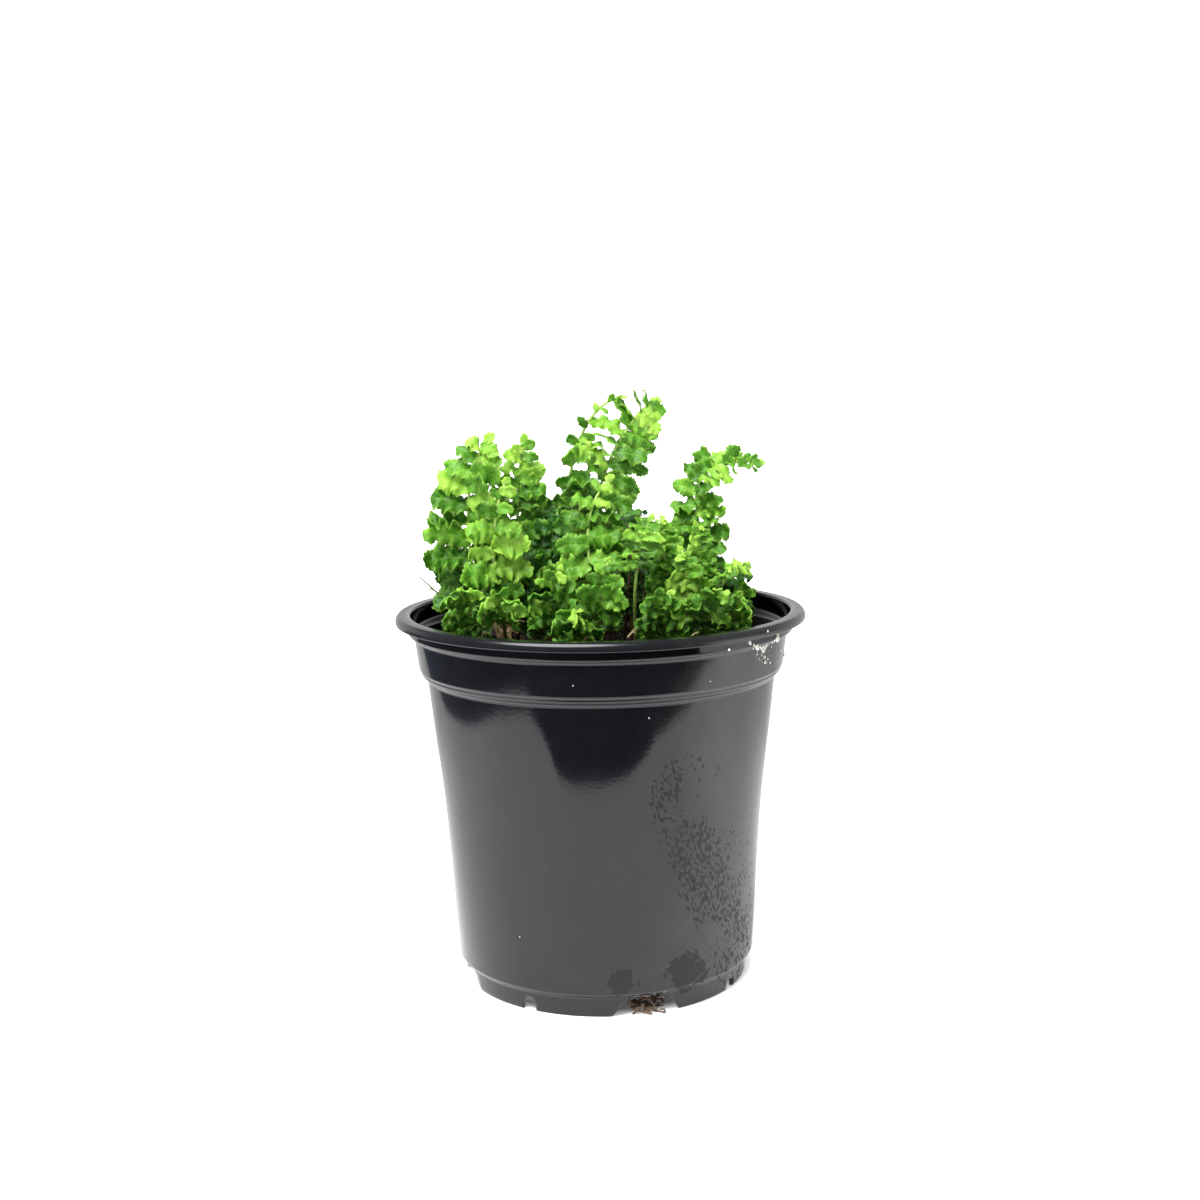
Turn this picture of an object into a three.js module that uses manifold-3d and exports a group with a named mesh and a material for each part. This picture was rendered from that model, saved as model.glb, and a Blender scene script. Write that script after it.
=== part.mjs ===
// A young ruffled sword fern in a black injection-moulded nursery pot, filled with peat potting mix.
// Millimetres, +Z up. The origin is the middle of the pot's foot, on the ground. The front looks to -Y.
import * as THREE from 'three';
import { mergeVertices } from 'three/addons/utils/BufferGeometryUtils.js';
import Module from 'manifold-3d';

const wasm = await Module();
wasm.setup();

// ---------------------------------------------------------------- driving dimensions
const POT_HEIGHT = 150;
const RIM_RADIUS = 82.5; // outside of the rolled flange
const MOUTH_RADIUS = 76.4; // inner edge of the flange
const LIP_DEPTH = 3.6; // how far the flange turns down
const SHELL = 1.3; // wall of the moulding
const NECK_RADIUS = 77.6; // short neck between the flange and the stacking collar
const NECK_FOOT_Z = 143;
const COLLAR_TOP = [75.1, 141.2]; // radius and height of the stacking collar's upper edge
const COLLAR_FOOT = [73.5, 128.2];
const COLLAR_STEP = [70.4, 124.4];
const WALL = [[69.4, 114], [65.4, 80], [62.6, 40], [60.7, 9.6]]; // radius and height, downwards
const FOOT_RADIUS = 57.8;
const FOOT_RING_WIDTH = 1.9;
const FLOOR_UNDER_Z = 7.9; // underside of the floor, which the foot ring lifts off the ground
const FLOOR_TOP_Z = 9.5;
const POT_SIDES = 40;

const DRAINS = 4; // wide drainage notches, with as many small ones half-way between
const DRAIN_TURN = 15.6; // degrees from the front to the first wide notch
const DRAIN_TOP_WIDTH = 15.4;
const DRAIN_FOOT_WIDTH = 29;
const VENT_TURN = 58.6;
const VENT_WIDTH = 6;
const VENT_HEIGHT = 4.2;
const FLOOR_HOLE_RADIUS = 5.5;
const FLOOR_HOLE_REACH = 47; // from the pot's axis to the middle of a hole in the floor

const GAP = 0.35; // between pieces that touch
const SOIL_EDGE_Z = 132.6; // where the mix meets the pot, well below the rim
const SOIL_MOUND = 3.2; // rise of the mix at the middle
const SOIL_SIDES = 30;

const STALK_FOOT_Z = 126; // a stalk's buried end
const STALK_START_Z = 138; // where it leaves the mix and starts to lean
const STALK_WIDTH = 1.5;
const STALK_TIP_WIDTH = 0.9;
const BLADE = 0.7; // thickness of a leaflet
const CLEARANCE = 0.5; // kept between leaflets, and between leaflets and stalks
const ROOT_HOLE_RADIUS = 1.8;
const LEAN_FACE = [48, 108]; // elevation of the face of a frond that leans outwards, at its root and tip

// Each frond: its root on the mix (x, y), two points a third and two thirds of the way along, its tip,
// where its face looks (azimuth and elevation, degrees, or else up and in over the pot), its longest
// leaflet, pairs of leaflets, the bare share of its stalk, how far the leaflets droop and how far they are
// turned like louvres (degrees).
const FRONDS = [
  // tall fronds that show at the front
  { root: [-46, -6], low: [-50.5, -12, 169], high: [-50.5, -15, 198], tip: [-43, -16, 219],
    face: [-108, 15], leaf: 17, pairs: 9, bare: 0.12, droop: 38, twist: 18 },
  { root: [-33, -9], low: [-32.5, -15, 168], high: [-31.5, -12, 196], tip: [-29, -9, 218],
    face: [-70, 12], leaf: 15, pairs: 9, bare: 0.12, droop: 30, twist: 24 },
  { root: [-24, 4], low: [-25, 5, 165], high: [-25.5, 4, 188], tip: [-25, 3, 203],
    face: [-90, 10], leaf: 7, pairs: 3, bare: 0.66, droop: 20, twist: 20 },
  { root: [-16, 6], low: [-14.5, 7, 176], high: [-8.5, 8, 214], tip: [10, 8, 235],
    face: [-60, 25], leaf: 7, pairs: 8, bare: 0.3, droop: 20, twist: 20 },
  { root: [-4, -6], low: [-3.5, -9, 176], high: [4, -2, 208], tip: [22.5, 9, 232.5],
    face: [-62, 30], leaf: 16, pairs: 9, bare: 0.34, droop: 48, twist: 52 },
  { root: [1, -17], low: [-3, -21, 165], high: [-4, -19, 186], tip: [4, -14, 203],
    face: [-95, 18], leaf: 14, pairs: 7, bare: 0.16, droop: 30, twist: 20 },
  { root: [38, 2], low: [42.5, 4, 171], high: [40, 4, 198], tip: [65, 4, 208],
    face: [-115, 25], leaf: 9.5, pairs: 8, bare: 0.24, droop: 25, twist: 25 },
  { root: [27, -13], low: [27, -17, 157], high: [27, -18, 174], tip: [25, -16, 187],
    face: [-112, 15], leaf: 12, pairs: 6, bare: 0.1, droop: 30, twist: 20 },
  { root: [41, -9], low: [40, -13, 157], high: [39.5, -14, 173], tip: [38.5, -12, 184],
    face: [-65, 15], leaf: 12, pairs: 6, bare: 0.1, droop: 30, twist: 20 },
  { root: [44, -19], low: [46, -23, 158], high: [52, -24, 168], tip: [58, -23, 167],
    leaf: 10, pairs: 6, bare: 0.24, droop: 30, twist: 10 },
  { root: [-40, -16], low: [-41, -21, 161], high: [-40.5, -24, 184], tip: [-36, -24, 203],
    face: [-85, 18], leaf: 12, pairs: 7, bare: 0.12, droop: 30, twist: 20 },
  { root: [34, -21], low: [34, -25, 153], high: [34, -27, 166], tip: [32, -27, 176],
    face: [-95, 20], leaf: 11, pairs: 5, bare: 0.1, droop: 30, twist: 20 },
  { root: [14, -24], low: [13.5, -28, 156], high: [15, -29, 173], tip: [20, -25, 189],
    face: [-90, 20], leaf: 11, pairs: 6, bare: 0.1, droop: 30, twist: 20 },
  // low fronds behind the front of the rim
  { root: [-19, -25], low: [-19, -31, 152], high: [-18, -36, 163], tip: [-15, -40, 171],
    face: [-85, 25], leaf: 13, pairs: 5, bare: 0.1, droop: 30, twist: 15 },
  { root: [1, -31], low: [0, -36, 153], high: [1, -41, 165], tip: [3, -43, 174],
    face: [-90, 25], leaf: 13, pairs: 5, bare: 0.1, droop: 30, twist: 15 },
  { root: [22, -36], low: [22, -41, 149], high: [23, -46, 158], tip: [26, -50, 163],
    face: [-85, 25], leaf: 11, pairs: 5, bare: 0.1, droop: 30, twist: 15 },
  { root: [38, -34], low: [40, -38, 149], high: [43, -42, 158], tip: [47, -46, 162],
    face: [-75, 25], leaf: 11, pairs: 5, bare: 0.1, droop: 30, twist: 15 },
  { root: [51, -8], low: [52.5, -10.5, 147], high: [54, -13, 155], tip: [56, -16, 161],
    face: [-60, 30], leaf: 10, pairs: 5, bare: 0.1, droop: 30, twist: 15 },
  { root: [-48, -21], low: [-49, -24, 149], high: [-51, -28, 158], tip: [-53, -32, 163],
    face: [-115, 25], leaf: 12, pairs: 5, bare: 0.1, droop: 30, twist: 15 },
  { root: [-36, -31], low: [-37, -36, 149], high: [-38, -42, 158], tip: [-40, -47, 163],
    face: [-100, 25], leaf: 12, pairs: 5, bare: 0.1, droop: 30, twist: 15 },
  { root: [-9, -43], low: [-10, -47, 148], high: [-10, -52, 155], tip: [-8, -57, 158],
    face: [-90, 30], leaf: 11, pairs: 4, bare: 0.1, droop: 30, twist: 15 },
  { root: [48, -25], low: [49, -28, 146], high: [51, -31, 153], tip: [53.5, -34, 159],
    face: [-65, 30], leaf: 10, pairs: 4, bare: 0.1, droop: 30, twist: 15 },
  // inner fronds and the back of the plant
  { root: [-21, -8], low: [-20, -11, 158], high: [-19, -12, 176], tip: [-16, -10, 190],
    face: [-80, 20], leaf: 14, pairs: 6, bare: 0.12, droop: 35, twist: 20 },
  { root: [-9, 14], low: [-9, 17, 164], high: [-8, 19, 186], tip: [-5, 23, 201],
    face: [-90, 20], leaf: 15, pairs: 6, bare: 0.16, droop: 35, twist: 20 },
  { root: [13, 6], low: [13, 9, 160], high: [16, 14, 175], tip: [21, 21, 182],
    face: [-80, 30], leaf: 13, pairs: 6, bare: 0.16, droop: 35, twist: 20 },
  { root: [29, 6], low: [30, 9, 157], high: [32, 13, 171], tip: [35, 15, 181],
    face: [-85, 25], leaf: 12, pairs: 6, bare: 0.12, droop: 35, twist: 20 },
  { root: [25, 24], low: [29, 29, 155], high: [35, 37, 168], tip: [43, 46, 170],
    leaf: 13, pairs: 6, bare: 0.16, droop: 35, twist: 10 },
  { root: [7, 28], low: [9, 36, 160], high: [12, 48, 177], tip: [16, 60, 182],
    leaf: 14, pairs: 6, bare: 0.16, droop: 35, twist: 10 },
  { root: [-17, 30], low: [-19, 37, 161], high: [-23, 47, 179], tip: [-29, 57, 186],
    leaf: 14, pairs: 6, bare: 0.16, droop: 35, twist: 10 },
  { root: [-37, 14], low: [-39, 20, 160], high: [-45, 28, 179], tip: [-53, 36, 186],
    leaf: 14, pairs: 6, bare: 0.16, droop: 35, twist: 10 },
  { root: [-54, 5], low: [-57, 9, 154], high: [-61, 14, 167], tip: [-66, 20, 171],
    leaf: 12, pairs: 6, bare: 0.14, droop: 35, twist: 10 },
  { root: [46, 15], low: [50, 19, 151], high: [55, 26, 160], tip: [60, 33, 162],
    leaf: 11, pairs: 5, bare: 0.12, droop: 30, twist: 10 },
  { root: [-3, 46], low: [-4, 50, 150], high: [-6, 56, 159], tip: [-8, 62, 161],
    leaf: 12, pairs: 4, bare: 0.12, droop: 30, twist: 10 },
  { root: [-35, 39], low: [-39, 43, 150], high: [-44, 48, 159], tip: [-50, 54, 161],
    leaf: 12, pairs: 4, bare: 0.12, droop: 30, twist: 10 },
  { root: [26, 43], low: [29, 47, 149], high: [34, 52, 157], tip: [39, 57, 160],
    leaf: 12, pairs: 4, bare: 0.12, droop: 30, twist: 10 },
];
const FRESH_FRONDS = 13; // the first so many are fresh green, and the next so many a deeper green
const MID_FRONDS = 9;

// A leaflet's outline as pairs of points (share of its length, half width as a share of its width),
// from its foot to its blunt end. Long ones are nipped in at the middle, between two lobes.
const LONG_OUTLINE = [[0.26, 0.48], [0.52, 0.38], [0.8, 0.46]];
const SHORT_OUTLINE = [[0.36, 0.5], [0.8, 0.44]];
const LONG_FROM = 12; // leaflets of this length and over take the long outline

// What a leaflet does when something is in its way: it bends (degrees) and grows shorter.
const YIELDS = [[0, 1], [14, 1], [-14, 1], [0, 0.8], [26, 0.85], [-26, 0.85], [0, 0.6], [38, 0.6], [-38, 0.6]];

// ---------------------------------------------------------------- materials
const material = (color, roughness) => new THREE.MeshStandardMaterial({ color, roughness, metalness: 0 });
const POT_PLASTIC = material(0x17181c, 0.28);
const POTTING_MIX = material(0x35261c, 0.95);
const FRESH_GREEN = material(0x7fb53a, 0.55);
const MID_GREEN = material(0x4f8a2b, 0.55);
const DEEP_GREEN = material(0x2f6427, 0.6);

// ---------------------------------------------------------------- solids from geometries
const radians = THREE.MathUtils.degToRad;

// A closed geometry as a solid that can be cut and joined.
function solidOf(geometry) {
  const plain = geometry.clone();
  plain.deleteAttribute('normal');
  plain.deleteAttribute('uv');
  const merged = mergeVertices(plain, 1e-4);
  const vertProperties = new Float32Array(merged.attributes.position.array);
  const triVerts = new Uint32Array(merged.index.array);
  return new wasm.Manifold(new wasm.Mesh({ numProp: 3, vertProperties, triVerts }));
}

function geometryOf(solid) {
  const mesh = solid.getMesh();
  const geometry = new THREE.BufferGeometry();
  geometry.setAttribute('position', new THREE.BufferAttribute(mesh.vertProperties, 3));
  geometry.setIndex(new THREE.BufferAttribute(mesh.triVerts, 1));
  return geometry;
}

// A body turned about the Z axis from [radius, height] points that start and end on the axis, bottom first.
function turned(points, sides) {
  const profile = points.map(([radius, height]) => new THREE.Vector2(radius, height));
  return new THREE.LatheGeometry(profile, sides).rotateX(Math.PI / 2);
}

// A flat outline in X and height, pushed outwards through the foot ring at an angle from the front.
function radialCutter(shape, inner, outer, turn) {
  const geometry = new THREE.ExtrudeGeometry(shape, { depth: outer - inner, bevelEnabled: false });
  geometry.rotateX(Math.PI / 2);
  geometry.translate(0, -inner, 0);
  geometry.rotateZ(radians(turn));
  return solidOf(geometry);
}

// ---------------------------------------------------------------- pot
function potProfile() {
  const lipZ = POT_HEIGHT - LIP_DEPTH;
  const outside = [
    [0, FLOOR_UNDER_Z], [FOOT_RADIUS - FOOT_RING_WIDTH, FLOOR_UNDER_Z],
    [FOOT_RADIUS - FOOT_RING_WIDTH, 0], [FOOT_RADIUS - 0.5, 0], [FOOT_RADIUS, 1.6],
    [FOOT_RADIUS + 0.3, FLOOR_UNDER_Z], ...WALL.toReversed(), COLLAR_STEP, COLLAR_FOOT, COLLAR_TOP,
    [NECK_RADIUS, NECK_FOOT_Z], [NECK_RADIUS, POT_HEIGHT - SHELL],
  ];
  const flange = [
    [RIM_RADIUS - SHELL, POT_HEIGHT - SHELL], [RIM_RADIUS - SHELL, lipZ], [RIM_RADIUS - 0.2, lipZ],
    [RIM_RADIUS, POT_HEIGHT - 1.5], [RIM_RADIUS - 1.2, POT_HEIGHT], [MOUTH_RADIUS, POT_HEIGHT],
  ];
  const inward = ([radius, height]) => [radius - SHELL, height];
  const inside = [
    [MOUTH_RADIUS - 0.2, NECK_FOOT_Z - 0.6], inward(COLLAR_TOP), inward(COLLAR_FOOT), inward(COLLAR_STEP),
    inward(WALL[1]), [WALL[3][0] - SHELL, FLOOR_TOP_Z], [0, FLOOR_TOP_Z],
  ];
  return [...outside, ...flange, ...inside];
}

function drainShape() {
  const shape = new THREE.Shape();
  shape.moveTo(-DRAIN_FOOT_WIDTH / 2, -1);
  shape.lineTo(DRAIN_FOOT_WIDTH / 2, -1);
  shape.lineTo(DRAIN_TOP_WIDTH / 2, FLOOR_UNDER_Z);
  shape.lineTo(-DRAIN_TOP_WIDTH / 2, FLOOR_UNDER_Z);
  shape.closePath();
  return shape;
}

function ventShape() {
  const half = VENT_WIDTH / 2;
  const shape = new THREE.Shape();
  shape.moveTo(-half, -1);
  shape.lineTo(half, -1);
  shape.lineTo(half, VENT_HEIGHT - 1.2);
  shape.lineTo(half - 1.2, VENT_HEIGHT);
  shape.lineTo(1.2 - half, VENT_HEIGHT);
  shape.lineTo(-half, VENT_HEIGHT - 1.2);
  shape.closePath();
  return shape;
}

function floorHole(turn) {
  const hole = new THREE.CylinderGeometry(FLOOR_HOLE_RADIUS, FLOOR_HOLE_RADIUS, 8, 10);
  hole.rotateX(Math.PI / 2);
  hole.translate(0, -FLOOR_HOLE_REACH, (FLOOR_UNDER_Z + FLOOR_TOP_Z) / 2);
  hole.rotateZ(radians(turn));
  return solidOf(hole);
}

function potSolid() {
  let pot = solidOf(turned(potProfile(), POT_SIDES));
  for (let quarter = 0; quarter < DRAINS; quarter += 1) {
    const turn = quarter * 360 / DRAINS;
    pot = pot.subtract(radialCutter(drainShape(), FOOT_RADIUS - 6, FOOT_RADIUS + 4, DRAIN_TURN + turn));
    pot = pot.subtract(radialCutter(ventShape(), FOOT_RADIUS - 6, FOOT_RADIUS + 4, VENT_TURN + turn));
    pot = pot.subtract(floorHole(DRAIN_TURN + turn));
  }
  return pot;
}

// ---------------------------------------------------------------- potting mix
function soilSolid() {
  const clear = ([radius, height]) => [radius - SHELL - GAP, height];
  const points = [
    [0, FLOOR_TOP_Z + GAP], [WALL[3][0] - SHELL - GAP, FLOOR_TOP_Z + GAP], clear(WALL[1]),
    clear(COLLAR_STEP), clear(COLLAR_FOOT), [COLLAR_FOOT[0] - SHELL - 0.1, SOIL_EDGE_Z],
    [58, SOIL_EDGE_Z + SOIL_MOUND * 0.4], [34, SOIL_EDGE_Z + SOIL_MOUND * 0.8], [0, SOIL_EDGE_Z + SOIL_MOUND],
  ];
  const plug = turned(points, SOIL_SIDES);
  const place = plug.attributes.position;
  for (let i = 0; i < place.count; i += 1) {
    const x = place.getX(i);
    const y = place.getY(i);
    if (place.getZ(i) > SOIL_EDGE_Z + 0.1) {
      const lumps = Math.sin(x * 0.21 + 1.3) * Math.cos(y * 0.17) + 0.6 * Math.sin(x * 0.11 - y * 0.29);
      place.setZ(i, place.getZ(i) + 0.8 * lumps);
    }
  }
  let soil = solidOf(plug);
  for (const frond of FRONDS) {
    const depth = 2 * (STALK_START_Z - STALK_FOOT_Z);
    const hole = new THREE.CylinderGeometry(ROOT_HOLE_RADIUS, ROOT_HOLE_RADIUS, depth, 5);
    hole.rotateX(Math.PI / 2);
    hole.translate(frond.root[0], frond.root[1], STALK_FOOT_Z - GAP + depth / 2);
    soil = soil.subtract(solidOf(hole));
  }
  return soil;
}

// ---------------------------------------------------------------- fronds
// A repeatable number from 0 to 1 for a frond, a leaflet and a use.
function chance(frond, leaflet, use) {
  const wave = Math.sin(frond * 12.9898 + leaflet * 78.233 + use * 37.719) * 43758.5453;
  return wave - Math.floor(wave);
}

// A thin sheet of triangles, thickened to both sides alike: points hold a place, a normal and a thickness.
function shell(points, triangles, extra = 0) {
  const places = [];
  for (const side of [1, -1]) {
    for (const point of points) {
      const place = point.place.clone().addScaledVector(point.normal, side * (point.thick + extra) / 2);
      places.push(place.x, place.y, place.z);
    }
  }
  const count = points.length;
  const faces = [];
  const edges = new Map();
  for (const [a, b, c] of triangles) {
    faces.push(a, b, c, a + count, c + count, b + count);
    for (const [from, to] of [[a, b], [b, c], [c, a]]) {
      if (!edges.delete(`${to} ${from}`)) edges.set(`${from} ${to}`, [from, to]);
    }
  }
  for (const [from, to] of edges.values()) {
    faces.push(from + count, to + count, to, from + count, to, from);
  }
  const geometry = new THREE.BufferGeometry();
  geometry.setAttribute('position', new THREE.Float32BufferAttribute(places, 3));
  geometry.setIndex(faces);
  return geometry;
}

// The cubic curve that starts at the root and passes the two points on the way to the tip.
function midline(frond) {
  const start = new THREE.Vector3(frond.root[0], frond.root[1], STALK_START_Z);
  const low = new THREE.Vector3(...frond.low);
  const high = new THREE.Vector3(...frond.high);
  const tip = new THREE.Vector3(...frond.tip);
  const mix = (a, b, c, d) => new THREE.Vector3().addScaledVector(start, a / 6).addScaledVector(low, b / 6)
    .addScaledVector(high, c / 6).addScaledVector(tip, d / 6);
  return new THREE.CubicBezierCurve3(start, mix(-5, 18, -9, 2), mix(2, -9, 18, -5), tip);
}

// Place, tangent, face normal, side direction and stalk width at a share of the midline. The stalk
// stands upright where it leaves the mix.
function frameAt(frond, curve, share) {
  const inward = Math.atan2(frond.root[1] - frond.tip[1], frond.root[0] - frond.tip[0]);
  const leaning = [inward, radians(THREE.MathUtils.lerp(...LEAN_FACE, share))];
  const [azimuth, elevation] = frond.face ? frond.face.map(radians) : leaning;
  const along = share > 0 ? curve.getTangentAt(share) : new THREE.Vector3(0, 0, 1);
  const look = new THREE.Vector3(
    Math.cos(elevation) * Math.cos(azimuth), Math.cos(elevation) * Math.sin(azimuth), Math.sin(elevation));
  const normal = look.addScaledVector(along, -look.dot(along)).normalize();
  const side = new THREE.Vector3().crossVectors(along, normal);
  const width = THREE.MathUtils.lerp(STALK_WIDTH, STALK_TIP_WIDTH, share);
  return { place: curve.getPointAt(share), along, normal, side, width };
}

// The stalk's sheet: a rail of points down each side, with two stations for each pair of leaflets.
function stalkSheet(frond, curve) {
  const length = curve.getLength();
  const step = (1 - frond.bare) / (frond.pairs + 0.4);
  const footWidth = Math.min(2.6, step * length * 0.42);
  const shares = [0, frond.bare * 0.5];
  for (let pair = 0; pair < frond.pairs; pair += 1) {
    const middle = frond.bare + step * (pair + 0.5);
    shares.push(middle - footWidth / length / 2, middle + footWidth / length / 2);
  }
  shares.push(1);
  const frames = shares.map((share) => frameAt(frond, curve, share));
  const foot = { ...frames[0], place: frames[0].place.clone().setZ(STALK_FOOT_Z) };
  const points = [];
  for (const frame of [foot, ...frames]) {
    for (const hand of [-0.5, 0.5]) {
      const place = frame.place.clone().addScaledVector(frame.side, hand * frame.width);
      points.push({ place, normal: frame.normal, thick: frame.width });
    }
  }
  const triangles = [];
  for (let i = 0; i + 3 < points.length; i += 2) {
    triangles.push([i, i + 1, i + 3], [i, i + 3, i + 2]);
  }
  return { points, triangles, frames, shares, step };
}

// One leaflet's own sheet between two points of the stalk. It arches over as it leaves the stalk.
function leafletSheet(feet, out, width, normal, length, breadth, droop, handed, ruffle) {
  const outline = length < LONG_FROM ? SHORT_OUTLINE : LONG_OUTLINE;
  const down = new THREE.Vector3(0, 0, -1);
  down.addScaledVector(out, -down.dot(out)).normalize();
  const axis = new THREE.Vector3().crossVectors(out, down);
  const start = feet[0].place.clone().add(feet[1].place).divideScalar(2);
  const bend = radians(Math.max(droop, 1));
  const pointAt = (share, across, wave) => {
    const angle = bend * share;
    const place = start.clone().addScaledVector(out, length * Math.sin(angle) / bend)
      .addScaledVector(down, length * (1 - Math.cos(angle)) / bend)
      .addScaledVector(width.clone().applyAxisAngle(axis, angle), across * breadth);
    const turnedNormal = normal.clone().applyAxisAngle(axis, angle);
    place.addScaledVector(turnedNormal, wave * length);
    return { place, normal: turnedNormal, thick: BLADE };
  };
  const points = [...feet];
  outline.forEach(([share, half], k) => {
    points.push(pointAt(share - 0.03, -half, ruffle(2 * k)), pointAt(share + 0.03, half, ruffle(2 * k + 1)));
  });
  points.push(pointAt(1, 0, 0));
  const triangles = [];
  const last = points.length - 1;
  for (let i = 0; i + 3 < last; i += 2) {
    triangles.push([i, i + 2, i + 3], [i, i + 3, i + 1]);
  }
  triangles.push([last - 2, last, last - 1]);
  if (handed < 0) triangles.forEach((triangle) => triangle.reverse());
  return { points, triangles };
}

function obstacle(geometry, stalkOf = -1) {
  geometry.computeBoundingBox();
  return { solid: solidOf(geometry), box: geometry.boundingBox.clone(), stalkOf };
}

const touches = (one, other) => one.box.intersectsBox(other.box)
  && one.solid.intersect(other.solid).volume() > 0;

// True if a leaflet would touch anything. Its own stalk is tested against the blade without its foot.
function isBlocked(leaflet, blade, others, owner) {
  return others.some((other) => touches(other.stalkOf === owner ? blade : leaflet, other));
}

// Adds a leaflet to a frond's sheet, bent or shortened until it is clear of all that was placed before it.
function addLeaflet(sheet, obstacles, frond, index, number, spot) {
  for (const [lift, size] of YIELDS) {
    const swing = radians(spot.lift + lift);
    const out = spot.out.clone().multiplyScalar(Math.cos(swing)).addScaledVector(spot.normal, Math.sin(swing));
    const flat = spot.normal.clone().multiplyScalar(Math.cos(swing)).addScaledVector(spot.out, -Math.sin(swing));
    const twist = radians(spot.twist);
    const width = spot.width.clone().multiplyScalar(Math.cos(twist)).addScaledVector(flat, Math.sin(twist));
    const normal = flat.multiplyScalar(Math.cos(twist)).addScaledVector(spot.width, -Math.sin(twist));
    const ruffle = (k) => 0.05 * (k % 2 ? 1 : -1) * (k % 4 < 2 ? 1 : -1) * (0.4 + chance(index, number, k));
    const feet = spot.feet.map((k) => sheet.points[k]);
    const leaflet = leafletSheet(feet, out, width, normal, spot.length * size, spot.breadth * size,
      spot.droop, spot.handed, ruffle);
    const tried = obstacle(shell(leaflet.points, leaflet.triangles, CLEARANCE));
    const bladeFaces = leaflet.triangles.filter((triangle) => Math.min(...triangle) > 1);
    const blade = obstacle(shell(leaflet.points, bladeFaces, CLEARANCE));
    if (isBlocked(tried, blade, obstacles, index)) continue;
    obstacles.push(tried);
    const base = sheet.points.length - 2;
    const place = (k) => (k < 2 ? spot.feet[k] : base + k);
    sheet.points.push(...leaflet.points.slice(2));
    sheet.triangles.push(...leaflet.triangles.map((triangle) => triangle.map(place)));
    return;
  }
}

// How long a leaflet is for its place on the frond: longest below the middle, small at the tip.
function leafShare(along) {
  return Math.sin(Math.PI * (0.3 + 0.55 * along)) ** 0.7;
}

function frondGeometry(frond, index, sheet, obstacles) {
  const length = midline(frond).getLength();
  const spacing = sheet.step * length;
  const breadthAt = (leaf) => Math.min(leaf * 0.56, spacing * (0.9 + frond.twist * 0.006));
  for (let pair = frond.pairs - 1; pair >= 0; pair -= 1) {
    const station = 2 + 2 * pair;
    const frame = sheet.frames[station];
    for (const hand of [-1, 1]) {
      const number = 2 * pair + (hand + 1) / 2;
      const forward = radians(12 + 26 * (pair / frond.pairs) + 10 * (chance(index, number, 20) - 0.5));
      const out = frame.side.clone().multiplyScalar(hand * Math.cos(forward))
        .addScaledVector(frame.along, Math.sin(forward));
      const width = frame.along.clone().addScaledVector(out, -frame.along.dot(out)).normalize();
      const leaf = frond.leaf * leafShare((pair + 0.5) / frond.pairs) * (0.9 + 0.2 * chance(index, number, 21));
      const rail = 2 * (station + 1) + (hand + 1) / 2;
      addLeaflet(sheet, obstacles, frond, index, number, {
        feet: [rail, rail + 2], out, width, normal: frame.normal, length: leaf, breadth: breadthAt(leaf),
        droop: frond.droop * (0.8 + 0.4 * chance(index, number, 22)),
        lift: 8, twist: frond.twist * (0.8 + 0.4 * chance(index, number, 23)), handed: hand,
      });
    }
  }
  const end = sheet.frames.at(-1);
  const last = sheet.stalkPoints - 1;
  const endLeaf = frond.leaf * 0.42;
  addLeaflet(sheet, obstacles, frond, index, 99, {
    feet: [last, last - 1], out: end.along, width: end.side.clone().negate(), normal: end.normal,
    length: endLeaf, breadth: endLeaf * 0.6, droop: frond.droop * 0.5, lift: 0, twist: 0, handed: 1,
  });
  return shell(sheet.points, sheet.triangles);
}

// ---------------------------------------------------------------- assembly
const plant = new THREE.Group();

function addPiece(name, geometry, look) {
  const mesh = new THREE.Mesh(geometry, look);
  mesh.name = name;
  plant.add(mesh);
}

const potGeometry = geometryOf(potSolid());
const soilGeometry = geometryOf(soilSolid());
addPiece('pot', potGeometry, POT_PLASTIC);
addPiece('soil', soilGeometry, POTTING_MIX);

// All stalks are placed before any leaflet, so that leaflets give way to stalks and never cut them.
const sheets = FRONDS.map((frond) => {
  const sheet = stalkSheet(frond, midline(frond));
  return { ...sheet, stalkPoints: sheet.points.length };
});
const obstacles = [obstacle(potGeometry), obstacle(soilGeometry)];
sheets.forEach((sheet, index) => {
  obstacles.push(obstacle(shell(sheet.points, sheet.triangles, CLEARANCE), index));
});
FRONDS.forEach((frond, index) => {
  const name = `frond_${String(index + 1).padStart(2, '0')}`;
  const older = index < FRESH_FRONDS + MID_FRONDS ? MID_GREEN : DEEP_GREEN;
  const green = index < FRESH_FRONDS ? FRESH_GREEN : older;
  addPiece(name, frondGeometry(frond, index, sheets[index], obstacles), green);
});

export default plant;
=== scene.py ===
import math
import random

import bmesh
import bpy
from mathutils import Matrix, Quaternion, Vector, noise


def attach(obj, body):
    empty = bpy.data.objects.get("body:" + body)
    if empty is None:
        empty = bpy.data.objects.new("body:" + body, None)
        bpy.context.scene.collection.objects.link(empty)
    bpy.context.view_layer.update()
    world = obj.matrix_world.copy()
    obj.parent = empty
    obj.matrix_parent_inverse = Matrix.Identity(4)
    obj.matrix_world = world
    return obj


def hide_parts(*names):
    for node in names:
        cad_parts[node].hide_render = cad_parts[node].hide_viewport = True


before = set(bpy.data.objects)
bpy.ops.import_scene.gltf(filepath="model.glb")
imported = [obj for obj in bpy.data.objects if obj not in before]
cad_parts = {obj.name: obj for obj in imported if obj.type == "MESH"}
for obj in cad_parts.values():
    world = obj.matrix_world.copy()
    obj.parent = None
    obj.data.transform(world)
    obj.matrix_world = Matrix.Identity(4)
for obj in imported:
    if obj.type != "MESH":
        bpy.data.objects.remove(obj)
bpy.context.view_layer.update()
scene = bpy.context.scene

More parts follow.
